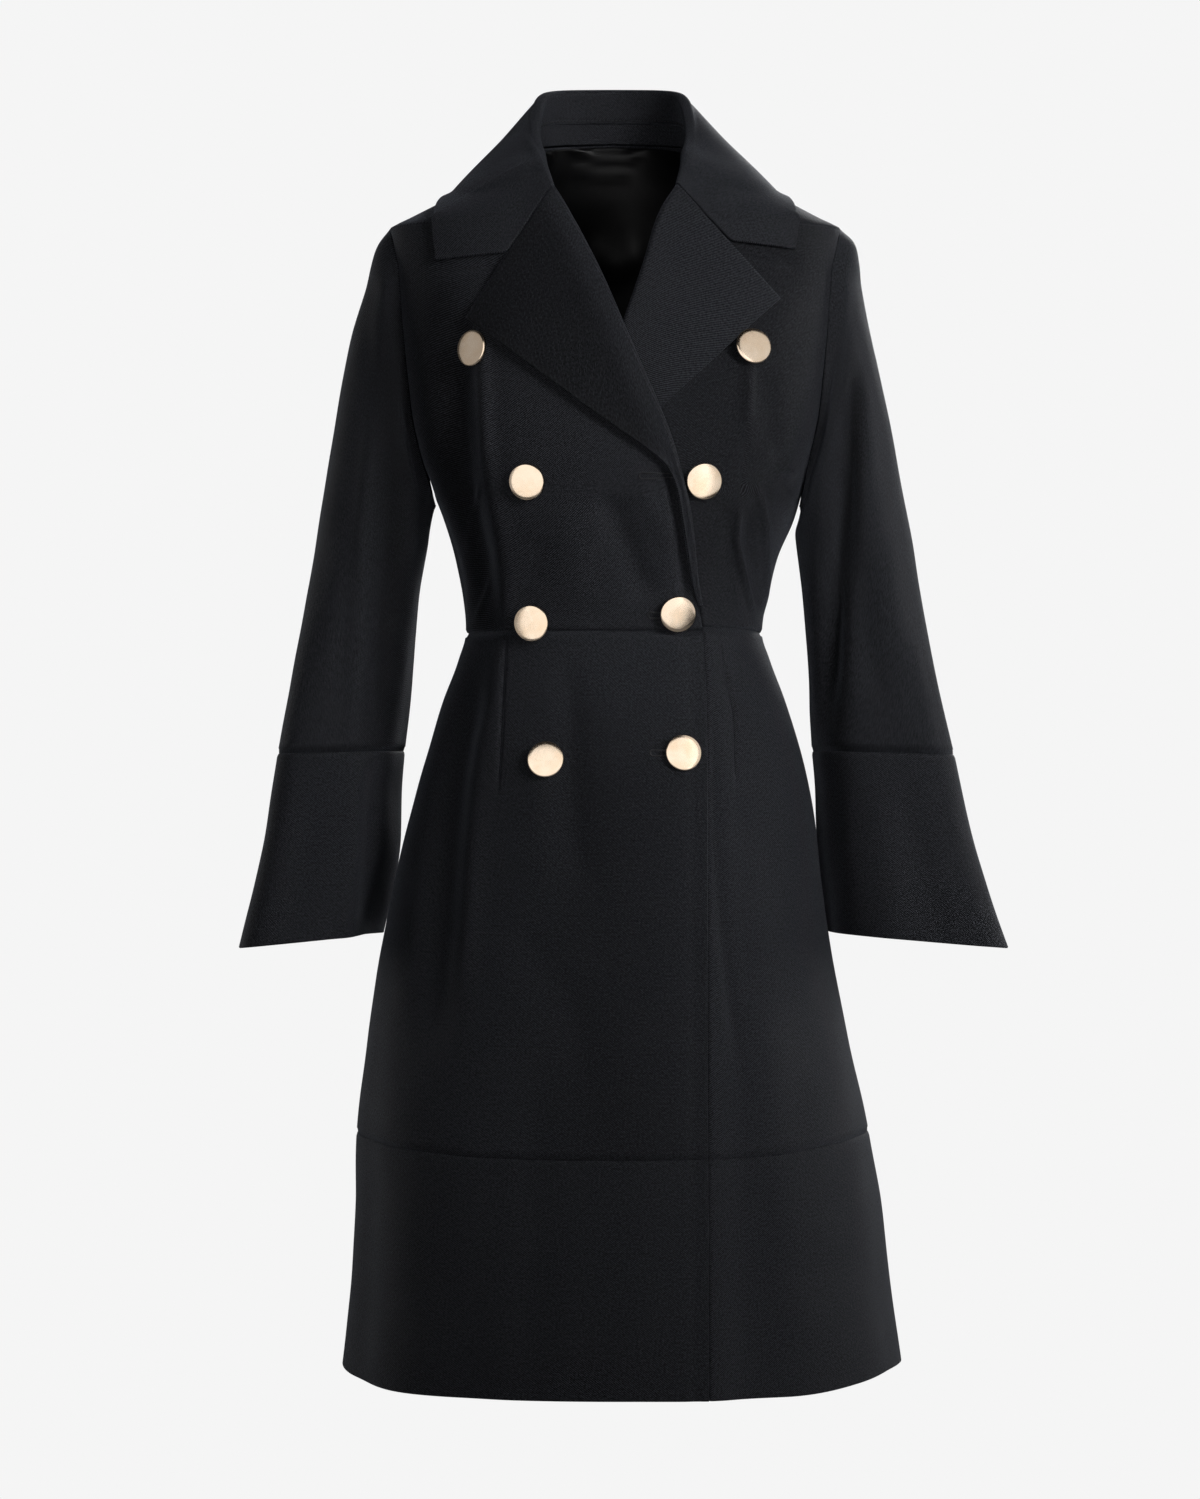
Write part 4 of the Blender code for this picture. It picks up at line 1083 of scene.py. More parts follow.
def add_back(twill, satin):
    """Bodice back with its lining, skirt back and hem band."""
    seams, hemmed = (-TUCK,) * 4, (-TUCK, 0.0, -TUCK, -TUCK)
    angle, drop = back_bodice_grid(bodice_levels(), BACK_COLUMNS)
    bodice = cloth(angle, drop, body_folds("back", angle, drop))
    add_cloth("back_bodice", bodice, WALL, seams, twill, sunk=(0.0, WAIST_SINK))
    levels = SHOULDER_DROP + (LINING_FOOT - SHOULDER_DROP) * spaced(LINING_ROWS)
    angle, drop = back_bodice_grid(levels, LINING_COLUMNS)
    fold = fold_height(LINING_FOLDS, surface(angle, drop)[..., 0], drop)
    lift = LINING_LIFT - np.abs(fold) + np.minimum(body_folds("back", angle, drop), 0.0)
    add_cloth("back_lining", cloth(angle, drop, lift), LINING_WALL, LINING_TRIMS, satin)
    angle, drop = back_grid(WAIST_DROP, BAND_DROP, SKIRT_ROWS)
    skirt = cloth(angle, drop, body_folds("back", angle, drop))
    add_cloth("back_skirt", skirt, WALL, seams, twill, sunk=(WAIST_SINK, SEAM_SINK))
    angle, drop = back_grid(BAND_DROP, HEM_DROP, BAND_ROWS)
    band = cloth(angle, drop, body_folds("back", angle, drop))
    add_cloth("back_hem_band", band, WALL, hemmed, twill, sunk=(SEAM_SINK, 0.0))


def turned_section(side, roll, outline, radius, spring, leg=()):
    """Points of cloth that turns over the edge of a front and lies back on it along an outline."""
    way = unit(outline[0] - roll)
    steps = np.radians(np.linspace(0.0, 180.0, TURN_STEPS))[:, None]
    places = [[roll + way * reach for reach in leg], roll - way * radius * np.sin(steps), outline]
    places = np.concatenate([np.reshape(part, (-1, 2)) for part in places])
    away = np.linalg.norm(outline - roll, axis=1)
    away = away / away.max()
    rest = LAPEL_EDGE_LIFT + (2 * radius - LAPEL_EDGE_LIFT) * (1 - away) ** LAPEL_FALL
    rest = rest + spring * away ** 2
    height = np.concatenate([np.zeros(len(leg)), radius * (1 - np.cos(steps[:, 0])), rest])
    return on_front(side, places[:, 0], places[:, 1], height)


def add_lapel(side, twill):
    """Lapel of one front, from its roll line to its free edges."""
    foot = LAPEL_FOOT[side]
    outline = LAPEL_OUTLINE[side]
    shares = spaced(LAPEL_STEPS)[2:, None]
    sections = []
    for level in GORGE_DROP + (foot - GORGE_DROP) * spaced(LAPEL_ROWS):
        roll = np.array([column(FRONT_EDGE, side, level), level])
        outer = np.array([column(outline, "x", level), column(outline, "drop", level)])
        radius = column(LAPEL_ROLL, side, level)
        spring = LAPEL_SPRING[side] * ease((foot - level) / SPRING_FOOT_FADE)
        spring = spring * ease((level - SPRING_TOP) / SPRING_TOP_FADE)
        sections.append(turned_section(side, roll, roll + (outer - roll) * shares, radius, spring))
    add_cloth(side + "_lapel", np.array(sections), WALL, (-TUCK, SEAM, SEAM, 0.0), twill)


def clear_of_figure(points, lift):
    """Move points outward until they stand off the figure by a lift."""
    points = points.copy()
    for attempt in range(CLEAR_PASSES):
        drop = -points[..., 2]
        sideways = points[..., 0] - column(FIGURE, "shift", drop)
        half_width = column(FIGURE, "half_width", drop)
        depth = np.where(points[..., 1] < 0, column(FIGURE, "front", drop), column(FIGURE, "back", drop))
        angle = np.degrees(np.arctan2(sideways / half_width, -points[..., 1] / depth))
        base = surface(angle, drop)
        normal = unit(cloth(angle, drop, np.ones_like(drop)) - base)
        height = ((points - base) * normal).sum(axis=-1)
        points += normal * np.maximum(lift - height, 0.0)[..., None]
    return points


def collar_section(place, sign):
    """Neck seam, stand seam, roll and fall of the collar at one place round the neck."""
    angle, stand, rise, lean, tilt = [column(COLLAR, name, place) for name in COLLAR[0][1:6]]
    edge = np.array([column(COLLAR, name, place) for name in COLLAR[0][6:]]) * (sign, 1, 1)
    neck = surface(sign * angle, column(NECK, "drop", angle))
    inward = unit(np.array([-neck[0], -neck[1], 0.0]))
    up = np.array([0.0, 0.0, 1.0])
    slope = np.radians(tilt)
    onward = up * np.cos(slope) + inward * np.sin(slope)
    outward = up * np.sin(slope) - inward * np.cos(slope)
    turn = neck + up * rise + inward * lean
    steps = np.radians(np.linspace(0.0, 180.0, TURN_STEPS))[:, None]
    roll = turn + COLLAR_ROLL * (outward * (1 - np.cos(steps)) + onward * np.sin(steps))
    share = spaced(FALL_STEPS)[2:, None]
    bulge = COLLAR_BULGE * 4 * share * (1 - share) * unit(up - inward)
    fall = roll[-1] + (edge - roll[-1]) * share + bulge
    seam = neck + (turn - neck) * stand
    leg = seam + (turn - seam) * np.linspace(0.0, 1.0, LEG_STEPS + 1)[:-1, None]
    return np.concatenate([[neck], leg, roll, fall])


def collar_end(side):
    """Front end of the collar along the gorge seam and its short front edge."""
    parts = spaced(FALL_STEPS)[2:]
    rows = np.array(COLLAR_END[side][1:], float)
    sideways = np.interp(parts, rows[:, 0], rows[:, 1])
    drop = np.interp(parts, rows[:, 0], rows[:, 2]) - SEAM
    outline = np.stack([sideways, drop], axis=1)
    roll = rows[0, 1:] - np.array([0.0, GORGE_GAP])
    leg = COLLAR_LEG * np.linspace(1.0, 0.0, LEG_STEPS + 1)[:-1]
    return turned_section(side, roll, outline, COLLAR_ROLL, COLLAR_SPRING, leg)


def evened(grid, times):
    """Soften the bends along a grid, keeping its first and last rows."""
    for step in range(times):
        grid = np.concatenate([grid[:1], (grid[:-2] + 2 * grid[1:-1] + grid[2:]) / 4, grid[-1:]])
    return grid


def add_collar(twill):
    """Collar with its fall all round the neck, and the stand band inside it."""
    places = np.linspace(0.0, COLLAR[-1][0], COLLAR_ROWS)
    rows = [collar_section(place, -1.0) for place in reversed(places)]
    rows = np.array(rows + [collar_section(place, 1.0) for place in places[1:]])
    right, left = collar_end("right"), collar_end("left")
    shares = spaced(COLLAR_END_ROWS)[:-2, None, None]
    head = right + (rows[0, 1:] - right) * shares
    foot = (left + (rows[-1, 1:] - left) * shares)[::-1]
    grid = evened(np.concatenate([head, rows[:, 1:], foot]), COLLAR_EVENING)
    fall = LEG_STEPS + TURN_STEPS - 1
    grid[1:-1, fall:] = clear_of_figure(grid[1:-1, fall:], COLLAR_LIFT)
    leg = grid[:, :LEG_STEPS]
    away = np.linalg.norm(leg - leg[:, :1], axis=-1)
    outward = unit(leg * (1.0, 1.0, 0.0))
    leg += outward * (STITCH_PULL * np.exp(-((away - STITCH_RISE) ** 2)))[..., None]
    add_cloth("collar", grid, WALL, (-TUCK, SEAM, SEAM, 0.0), twill)
    shares = spaced(STAND_STEPS)[None, :, None]
    band = rows[STAND_END_ROWS:-STAND_END_ROWS]
    stand = band[:, :1] + (band[:, 1:2] - band[:, :1]) * shares
    add_cloth("collar_stand", stand, WALL, (SEAM, SEAM, STAND_SEAM, SEAM), twill)
    return grid


def ring_turns():
    """Angles of the points round a sleeve, from its top over the front."""
    return np.arange(2 * ARMHOLE_STEPS) * np.pi / ARMHOLE_STEPS


def tube_ring(table, part, square, sign):
    """Ring of a sleeve or cuff at one place along it, turned about its own middle."""
    turn = ring_turns()
    outer = np.array([column(table, "outer_x", part), 0.0, -column(table, "outer_drop", part)])
    inner = np.array([column(table, "inner_x", part), 0.0, -column(table, "inner_drop", part)])
    cosine, sine = np.cos(turn), np.sin(turn)
    scale = (np.abs(cosine) ** square + np.abs(sine) ** square) ** (-1 / square)
    ring = (outer + inner) / 2 + (cosine * scale)[:, None] * (outer - inner) / 2
    depth = -sine * scale * column(table, "half_depth", part)
    reach = cosine * scale * (outer[0] - inner[0]) / 2 - column(table, "turn", part) * depth
    reach *= (outer[0] - inner[0]) / 2 / np.abs(reach).max()
    ring[:, 0] = sign * ((outer[0] + inner[0]) / 2 + reach)
    ring[:, 1] += column(table, "middle_y", part) + depth
    return ring


def armhole_ring(sign):
    """Ring along the armhole edge of the bodice, eased outward under the arm."""
    turn = ring_turns()
    levels = armhole_levels()
    drop = np.concatenate([levels, levels[-2:0:-1]])
    angle = np.where(np.sin(turn) >= 0, column(ARMHOLE, "front", drop), column(ARMHOLE, "back", drop))
    ring = surface(sign * angle, drop)
    ring[:, 0] += sign * (SLEEVE_SEAM + UNDERARM_EASE * (1 - np.cos(turn)) / 2)
    return ring


def sleeve_cloth(side, grid):
    """Add the folds of a sleeve or cuff to its rings, by which way the cloth faces."""
    normal = grid_normal(grid, tube=True)
    outward = (normal * (grid - grid.mean(axis=1, keepdims=True))).sum() > 0
    normal = normal if outward else -normal
    x, drop = grid[..., 0], -grid[..., 2]
    ahead = ease(-normal[..., 1] / SLEEVE_TURN + 0.5)
    front = fold_height(SLEEVE_FOLDS[side + "_front"], x, drop)
    back = fold_height(SLEEVE_FOLDS[side + "_back"], x, drop)
    height = front * ahead + back * (1 - ahead) + ripple(x + grid[..., 1], drop)
    return grid + normal * height[..., None]


def add_sleeve(side, twill):
    """Sleeve from the armhole to the cuff seam, and the bell cuff below it."""
    sign = SIGN[side]
    table = SLEEVE[side]
    offset = armhole_ring(sign) - tube_ring(table, 0.0, SLEEVE_SQUARE[1][1], sign)
    turn = np.degrees(ring_turns())
    rings = []
    for part in table[-1][0] * spaced(SLEEVE_ROWS):
        ring = tube_ring(table, part, column(SLEEVE_SQUARE, "square", part), sign)
        middle = ring.mean(axis=0)
        for angle, spread, start, finish, depth in SLEEVE_HOLLOWS[side][1:]:
            along = ease((part - start) / HOLLOW_FADE) * ease((finish - part) / HOLLOW_FADE)
            pull = depth * along * np.exp(-(((turn - angle) / spread) ** 2))
            ring -= unit(ring - middle) * pull[:, None]
        rings.append(ring + offset * ease(1 - part / SLEEVE_BLEND))
    trims = (-SLEEVE_TUCK, -TUCK, 0.0, 0.0)
    sleeve = sleeve_cloth(side, np.array(rings))
    add_cloth(side + "_sleeve", sleeve, WALL, trims, twill, tube=True, sunk=(0.0, SEAM_SINK))
    table = CUFF[side]
    rings = [tube_ring(table, part, CUFF_SQUARE, sign) for part in table[-1][0] * spaced(CUFF_ROWS)]
    trims = (-TUCK, 0.0, 0.0, 0.0)
    cuff = sleeve_cloth(side, np.array(rings))
    add_cloth(side + "_cuff", cuff, WALL, trims, twill, tube=True, sunk=(SEAM_SINK, 0.0))


def start_pick(kind):
    """Clear the selection in edit mode and step out of it to pick faces or edges by a test."""
    bpy.ops.mesh.select_mode(type=kind)
    bpy.ops.mesh.select_all(action="DESELECT")
    bpy.ops.object.mode_set(mode="OBJECT")


def pick_faces(piece, wanted):
    """Select the faces of a piece in edit mode whose normals meet a test."""
    start_pick("FACE")
    for face in piece.data.polygons:
        face.select = wanted(face.normal)
    bpy.ops.object.mode_set(mode="EDIT")


def pick_edges(piece, wanted):
    """Select the edges of a piece in edit mode whose two ends meet a test."""
    start_pick("EDGE")
    points = piece.data.vertices
    for edge in piece.data.edges:
        edge.select = all(wanted(points[end].co) for end in edge.vertices)
    bpy.ops.object.mode_set(mode="EDIT")


def raise_faces(steps):
    """Inset the picked faces and move them up, step by step."""
    for inset, rise in steps:
        bpy.ops.mesh.inset(thickness=inset * METRES, use_boundary=True)
        bpy.ops.transform.translate(value=(0.0, 0.0, rise * METRES))


def add_disc(sides, radius, height):
    """Round disc that stands on the origin, left in edit mode."""
    bpy.ops.object.select_all(action="DESELECT")
    bpy.ops.mesh.primitive_cylinder_add(vertices=sides, radius=radius, depth=height,
                                        location=(0.0, 0.0, height / 2))
    bpy.ops.object.transform_apply(location=True, rotation=False, scale=False)
    bpy.ops.object.mode_set(mode="EDIT")
    return bpy.context.object


def model_button(gold):
    """One button at the origin, face up: a plain disc with a rounded edge and a low dome."""
    radius = BUTTON_RADIUS * METRES
    button = add_disc(BUTTON_SIDES, radius, BUTTON_SIDE * METRES)
    pick_faces(button, lambda normal: normal.z > LEVEL_FACE)
    raise_faces(BUTTON_FACE)
    bpy.ops.mesh.poke()
    pick_faces(button, lambda normal: normal.z < -LEVEL_FACE)
    raise_faces(BUTTON_BACK)
    pick_edges(button, lambda point: point.xy.length > radius * RIM_SHARE)
    bpy.ops.mesh.bevel(offset=BUTTON_BEVEL * METRES, segments=BEVEL_STEPS, affect="EDGES")
    bpy.ops.mesh.select_all(action="SELECT")
    bpy.ops.mesh.normals_make_consistent(inside=False)
    bpy.ops.object.mode_set(mode="OBJECT")
    bpy.ops.object.shade_smooth_by_angle(angle=np.radians(SMOOTH_ANGLE))
    button.data.materials.append(gold)
    return button


def model_shank(thread):
    """One thread shank at the origin, drawn in at its waist and one millimetre high."""
    shank = add_disc(SHANK_SIDES, SHANK_RADIUS * METRES, METRES / 2)
    pick_faces(shank, lambda normal: normal.z > LEVEL_FACE)
    bpy.ops.transform.resize(value=(SHANK_WAIST, SHANK_WAIST, 1.0))
    bpy.ops.mesh.extrude_region_move(TRANSFORM_OT_translate={"value": (0.0, 0.0, METRES / 2)})
    bpy.ops.transform.resize(value=(SHANK_FLARE, SHANK_FLARE, 1.0))
    bpy.ops.object.mode_set(mode="OBJECT")
    bpy.ops.object.shade_smooth_by_angle(angle=np.radians(SMOOTH_ANGLE))
    shank.data.materials.append(thread)
    return shank


def on_folds(side, x, drop, lift, share=1.0):
    """Point over a front panel with its folds, or with a share of their height."""
    x, drop = np.asarray(x, float), np.asarray(drop, float)
    return on_front(side, x, drop, lift + share * body_folds(side, front_angle(x, drop), drop))


def front_frame(side, x, drop, lift):
    """Place on a folded front and its three directions: across, upward and out."""
    near, far = [on_folds(side, x + way * BUTTON_REACH, drop, lift, BUTTON_LEAN) for way in (-1, 1)]
    low, high = [on_folds(side, x, drop - way * BUTTON_REACH, lift, BUTTON_LEAN) for way in (-1, 1)]
    across, upward = far - near, high - low
    out = unit(np.cross(across, upward))
    across = unit(across)
    return on_folds(side, x, drop, lift), across, np.cross(out, across), out


def fold_clearance(side, x, drop):
    """Height of the highest fold under a button over the fold at its middle."""
    turn = np.radians(np.arange(0, 360, CLEARANCE_STEP))
    around, level = x + BUTTON_RADIUS * np.cos(turn), drop + BUTTON_RADIUS * np.sin(turn)
    middle = body_folds(side, front_angle(x, drop), np.asarray(drop, float))
    return max(float((body_folds(side, front_angle(around, level), level) - middle).max()), 0.0)


def placed_copy(model, place, stretch=1.0):
    """Copy a model with its own mesh and set it at a place, by its foot and its three directions."""
    foot, across, upward, out = place
    matrix = Matrix.Identity(4)
    for row in range(3):
        matrix[row][:] = (across[row], upward[row], out[row] * stretch, foot[row] * METRES)
    piece = model.copy()
    piece.data = model.data.copy()
    piece.data.transform(matrix)
    bpy.context.scene.collection.objects.link(piece)
    return piece


def sewn_piece(piece, name):
    """Name a hard piece and fix it to the coat."""
    piece.name = piece.data.name = name
    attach(piece, "root")
    return piece


def add_buttons(gold, thread):
    """All eight buttons on their thread shanks."""
    button, shank = model_button(gold), model_shank(thread)
    for name, side, x, drop, gap in BUTTONS:
        gap += fold_clearance(side, x, drop)
        piece = placed_copy(button, front_frame(side, x, drop, WALL / 2 + gap))
        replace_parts(sewn_piece(piece, name + "_metal"), name)
        place = front_frame(side, x, drop, WALL / 2 - SHANK_SINK)
        sewn_piece(placed_copy(shank, place, gap + SHANK_SINK + SHANK_RISE), name + "_shank")
    bpy.data.objects.remove(button)
    bpy.data.objects.remove(shank)


def add_buttonhole(name, x, drop, thread):
    """Worked buttonhole with a round eye, its thread laid on the right front."""
    bpy.ops.object.select_all(action="DESELECT")
    bpy.ops.mesh.primitive_torus_add(
        major_segments=HOLE_SEGMENTS, minor_segments=HOLE_THREAD_SEGMENTS,
        major_radius=HOLE_EYE * METRES, minor_radius=HOLE_THREAD * METRES)
    hole = bpy.context.object
    bpy.ops.object.mode_set(mode="EDIT")
    pick_edges(hole, lambda point: point.x > 0.0)
    bpy.ops.transform.resize(value=(1.0, HOLE_NARROW, 1.0))
    bpy.ops.transform.translate(value=(HOLE_LENGTH * METRES, 0.0, 0.0))
    bpy.ops.object.mode_set(mode="OBJECT")
    for edge in hole.data.edges:
        ends = [hole.data.vertices[end].co.x for end in edge.vertices]
        edge.select = abs(ends[0] - ends[1]) > HOLE_LENGTH * METRES / 2
    bpy.ops.object.mode_set(mode="EDIT")
    bpy.ops.mesh.subdivide(number_cuts=HOLE_CUTS)
    bpy.ops.object.mode_set(mode="OBJECT")
    bpy.ops.object.shade_smooth()
    points = np.array([point.co for point in hole.data.vertices]) / METRES
    across, level = x + points[:, 0], drop - points[:, 1]
    lift = WALL / 2 + points[:, 2] + HOLE_THREAD * HOLE_SEAT
    laid = on_folds("right", across, level, lift) * METRES
    hole.data.vertices.foreach_set("co", laid.ravel())
    hole.data.materials.append(thread)
    sewn_piece(hole, name)


def add_collar_stitches(collar, thread):
    """Row of stitches on the inside of the collar, just over the stand seam."""
    bpy.ops.object.select_all(action="DESELECT")
    bpy.ops.mesh.primitive_uv_sphere_add(segments=STITCH_SIDES, ring_count=STITCH_RINGS,
                                         radius=STITCH_LENGTH / 2 * METRES)
    stitch = bpy.context.object
    bpy.ops.object.mode_set(mode="EDIT")
    bpy.ops.transform.resize(value=(1.0, STITCH_WIDTH / STITCH_LENGTH, STITCH_WIDTH / STITCH_LENGTH))
    bpy.ops.object.mode_set(mode="OBJECT")
    bpy.ops.object.shade_smooth()
    stitch.data.materials.append(thread)
    middle = len(collar) // 2
    reach = int(COLLAR_ROWS * STITCH_REACH)
    seam, above = collar[middle - reach:middle + reach, 0], collar[middle - reach:middle + reach, 1]
    line = seam + unit(above - seam) * STITCH_RISE
    length = np.concatenate([[0.0], np.cumsum(np.linalg.norm(np.diff(line, axis=0), axis=1))])
    pieces = []
    for at in np.arange(STITCH_PITCH, length[-1] - STITCH_PITCH, STITCH_PITCH):
        centre, ahead = [np.array([np.interp(place, length, line[:, axis]) for axis in range(3)])
                         for place in (at, at + STITCH_AHEAD)]
        along = unit(ahead - centre)
        inward = unit(np.array([-centre[0], -centre[1], 0.0]))
        inward = unit(inward - along * (inward @ along))
        place = (centre + inward * WALL / 2, along, np.cross(inward, along), inward)
        pieces.append(placed_copy(stitch, place))
    bpy.data.objects.remove(stitch)
    bpy.ops.object.select_all(action="DESELECT")
    for piece in pieces:
        piece.select_set(True)
    bpy.context.view_layer.objects.active = pieces[0]
    bpy.ops.object.join()
    sewn_piece(bpy.context.object, "collar_seam_stitches")


def add_node(tree, kind, inputs=None, **settings):
    """Add a shader node with its settings and plain input values."""
    node = tree.nodes.new(kind)
    for name, value in settings.items():
        setattr(node, name, value)
    for name, value in (inputs or {}).items():
        node.inputs[name].default_value = value
    return node


def wire(tree, *links):
    """Link shader nodes, each link by a node and its output, then a node and its input."""
    for start, output, end, socket in links:
        tree.links.new(start.outputs[output], end.inputs[socket])


def new_group(name, outputs):
    """Start a node group that reads a place on the cloth."""
    tree = bpy.data.node_groups.new(name, "ShaderNodeTree")
    tree.interface.new_socket("Place", in_out="INPUT", socket_type="NodeSocketVector")
    for output in outputs:
        tree.interface.new_socket(output, in_out="OUTPUT", socket_type="NodeSocketFloat")
    return tree, tree.nodes.new("NodeGroupInput"), tree.nodes.new("NodeGroupOutput")


def make_twill_weave():
    """Diagonal ribs of a twill, broken up by the unevenness of the yarn."""
    tree, start, end = new_group("twill_weave", ("Height", "Rib"))
    turned = add_node(tree, "ShaderNodeMapping", {"Rotation": (0.0, 0.0, TWILL_ANGLE),
                                                  "Scale": (1 / TWILL_PITCH,) * 3})
    ribs = add_node(tree, "ShaderNodeTexWave", RIB_WAVE)
    yarn = add_node(tree, "ShaderNodeTexNoise", YARN_NOISE)
    mixed = add_node(tree, "ShaderNodeMath", operation="MULTIPLY_ADD")
    wire(tree, (start, "Place", turned, "Vector"), (turned, "Vector", ribs, "Vector"),
         (turned, "Vector", yarn, "Vector"), (ribs, "Fac", mixed, 0), (yarn, "Fac", mixed, 1),
         (yarn, "Fac", mixed, 2), (mixed, "Value", end, "Height"), (ribs, "Fac", end, "Rib"))
    return tree


def make_cloth_tone():
    """Soft patches and fine flecks of slightly lighter and darker cloth."""
    tree, start, end = new_group("cloth_tone", ("Patch", "Fleck"))
    for output, noise in (("Patch", PATCH_NOISE), ("Fleck", FLECK_NOISE)):
        texture = add_node(tree, "ShaderNodeTexNoise", noise)
        wire(tree, (start, "Place", texture, "Vector"), (texture, "Fac", end, output))
    return tree


def place_group(tree, group):
    """Put a node group into a material."""
    return add_node(tree, "ShaderNodeGroup", node_tree=group)


def start_finish(name):
    """Start a material with two shades, an uneven roughness and a relief, each to be given its mask."""
    colours, stops, rough, relief, values = FINISHES[name]
    material = bpy.data.materials.new(name)
    material.use_nodes = True
    tree = material.node_tree
    shader = tree.nodes["Principled BSDF"]
    for socket, value in values.items():
        shader.inputs[socket].default_value = value
    shades = add_node(tree, "ShaderNodeValToRGB")
    for stop, place, colour in zip(shades.color_ramp.elements, stops, colours):
        stop.position = place
        stop.color = (*colour, 1.0)
    dulled = add_node(tree, "ShaderNodeMapRange", {"From Min": MASK_RANGE[0], "From Max": MASK_RANGE[1],
                                                   "To Min": rough[0], "To Max": rough[1]})
    raised = add_node(tree, "ShaderNodeBump", {"Strength": relief, "Distance": BUMP_DEPTH})
    wire(tree, (shades, "Color", shader, "Base Color"), (dulled, "Result", shader, "Roughness"),
         (raised, "Normal", shader, "Normal"))
    return material, shades, dulled, raised


def make_fabric(name, weave, tone):
    """Woven cloth: ribs and flecks in its colour, darkened by painted shade in places and lightened by a
    painted highlight in one, and ribs in its surface.
    """
    material, shades, dulled, raised = start_finish(name)
    tree = material.node_tree
    place = add_node(tree, "ShaderNodeUVMap", uv_map="weave")
    ribs, patches = place_group(tree, weave), place_group(tree, tone)
    mixed = add_node(tree, "ShaderNodeMath", {1: RIB_SHARE}, operation="MULTIPLY_ADD")
    # Painted shade of the piece, added to the mask of the cloth's colour
    painted_shade = add_node(tree, "ShaderNodeAttribute", attribute_name="painted_shade")
    turned = add_node(tree, "ShaderNodeMath", operation="ADD")
    wire(tree, (place, "UV", ribs, "Place"), (place, "UV", patches, "Place"), (ribs, "Rib", mixed, 0),
         (patches, "Fleck", mixed, 2), (mixed, "Value", turned, 0), (painted_shade, "Fac", turned, 1),
         (turned, "Value", shades, "Fac"), (patches, "Patch", dulled, "Value"),
         (ribs, "Height", raised, "Height"))
    return material


def make_thread(tone):
    """Black sewing thread with a twist."""
    material, shades, dulled, raised = start_finish("sewing_thread")
    tree = material.node_tree
    place = add_node(tree, "ShaderNodeTexCoord")
    patches = place_group(tree, tone)
    twist = add_node(tree, "ShaderNodeTexWave", TWIST_WAVE, bands_direction="DIAGONAL")
    wire(tree, (place, "Object", patches, "Place"), (place, "Object", twist, "Vector"),
         (patches, "Fleck", shades, "Fac"), (patches, "Patch", dulled, "Value"),
         (twist, "Fac", raised, "Height"))
    return material


def make_gold():
    """Polished pale gold with faint handling marks."""
    material, shades, dulled, raised = start_finish("button_gold")
    tree = material.node_tree
    place = add_node(tree, "ShaderNodeTexCoord")
    cloud, marks = [add_node(tree, "ShaderNodeTexNoise", noise) for noise in (CLOUD_NOISE, MARK_NOISE)]
    wire(tree, (place, "Object", cloud, "Vector"), (place, "Object", marks, "Vector"),
         (cloud, "Fac", shades, "Fac"), (marks, "Fac", dulled, "Value"), (marks, "Fac", raised, "Height"))
    return material


def add_softbox(name, place, aim, size, glow, spread):
    """Soft rectangular lamp with a given brightness, aimed at a place, in metres."""
    lamp = bpy.data.lights.new(name, "AREA")
    lamp.shape = "RECTANGLE"
    lamp.size, lamp.size_y = size
    lamp.energy = glow * np.pi * size[0] * size[1]
    lamp.spread = np.radians(spread)
    softbox = bpy.data.objects.new(name, lamp)
    softbox.location = place
    softbox.rotation_euler = (Vector(aim) - Vector(place)).to_track_quat("-Z", "Y").to_euler()
    softbox.visible_camera = False
    bpy.context.scene.collection.objects.link(softbox)
    return softbox


def show_camera(tree, lit, shown, output):
    """Give the camera an even tone in place of the shader that meets the light."""
    ray = add_node(tree, "ShaderNodeLightPath")
    mixed = add_node(tree, "ShaderNodeMixShader")
    wire(tree, (ray, "Is Camera Ray", mixed, 0), (lit, 0, mixed, 1), (shown, 0, mixed, 2),
         (mixed, "Shader", tree.nodes[output], "Surface"))


def add_floor():
    """Round pale floor."""
    bpy.ops.object.select_all(action="DESELECT")
    bpy.ops.mesh.primitive_circle_add(vertices=FLOOR_SIDES, radius=FLOOR_RADIUS, fill_type="NGON",
                                      location=(0.0, 0.0, FLOOR_LEVEL))
    floor = bpy.context.object
    floor.name = floor.data.name = "studio_floor"
    bpy.ops.object.transform_apply(location=True, rotation=False, scale=False)
    pale = bpy.data.materials.new("pale_floor")
    pale.use_nodes = True
    tree = pale.node_tree
    shader = tree.nodes["Principled BSDF"]
    shader.inputs["Base Color"].default_value = FLOOR_COLOUR
    shader.inputs["Roughness"].default_value = FLOOR_ROUGHNESS
    even = add_node(tree, "ShaderNodeEmission", {"Color": FLOOR_COLOUR, "Strength": FLOOR_GLOW})
    show_camera(tree, shader, even, "Material Output")
    floor.data.materials.append(pale)


def add_surround():
    """Even pale surround, which casts more light from behind the coat than from ahead of it."""
    world = bpy.data.worlds.new("studio_surround")
    bpy.context.scene.world = world
    world.use_nodes = True
    tree = world.node_tree
    shown = tree.nodes["Background"]
    shown.inputs["Color"].default_value = SURROUND_SHOWN
    cast = add_node(tree, "ShaderNodeBackground", {"Color": SURROUND_COLOUR})
    way = add_node(tree, "ShaderNodeTexCoord")
    parts = add_node(tree, "ShaderNodeSeparateXYZ")
    glow = add_node(tree, "ShaderNodeMapRange", {"From Min": -SURROUND_BLEND, "From Max": SURROUND_BLEND,
                                                 "To Min": SURROUND_AHEAD, "To Max": SURROUND_BEHIND})
    wire(tree, (way, "Generated", parts, "Vector"), (parts, "Y", glow, "Value"),
         (glow, "Result", cast, "Strength"))
    show_camera(tree, cast, shown, "World Output")


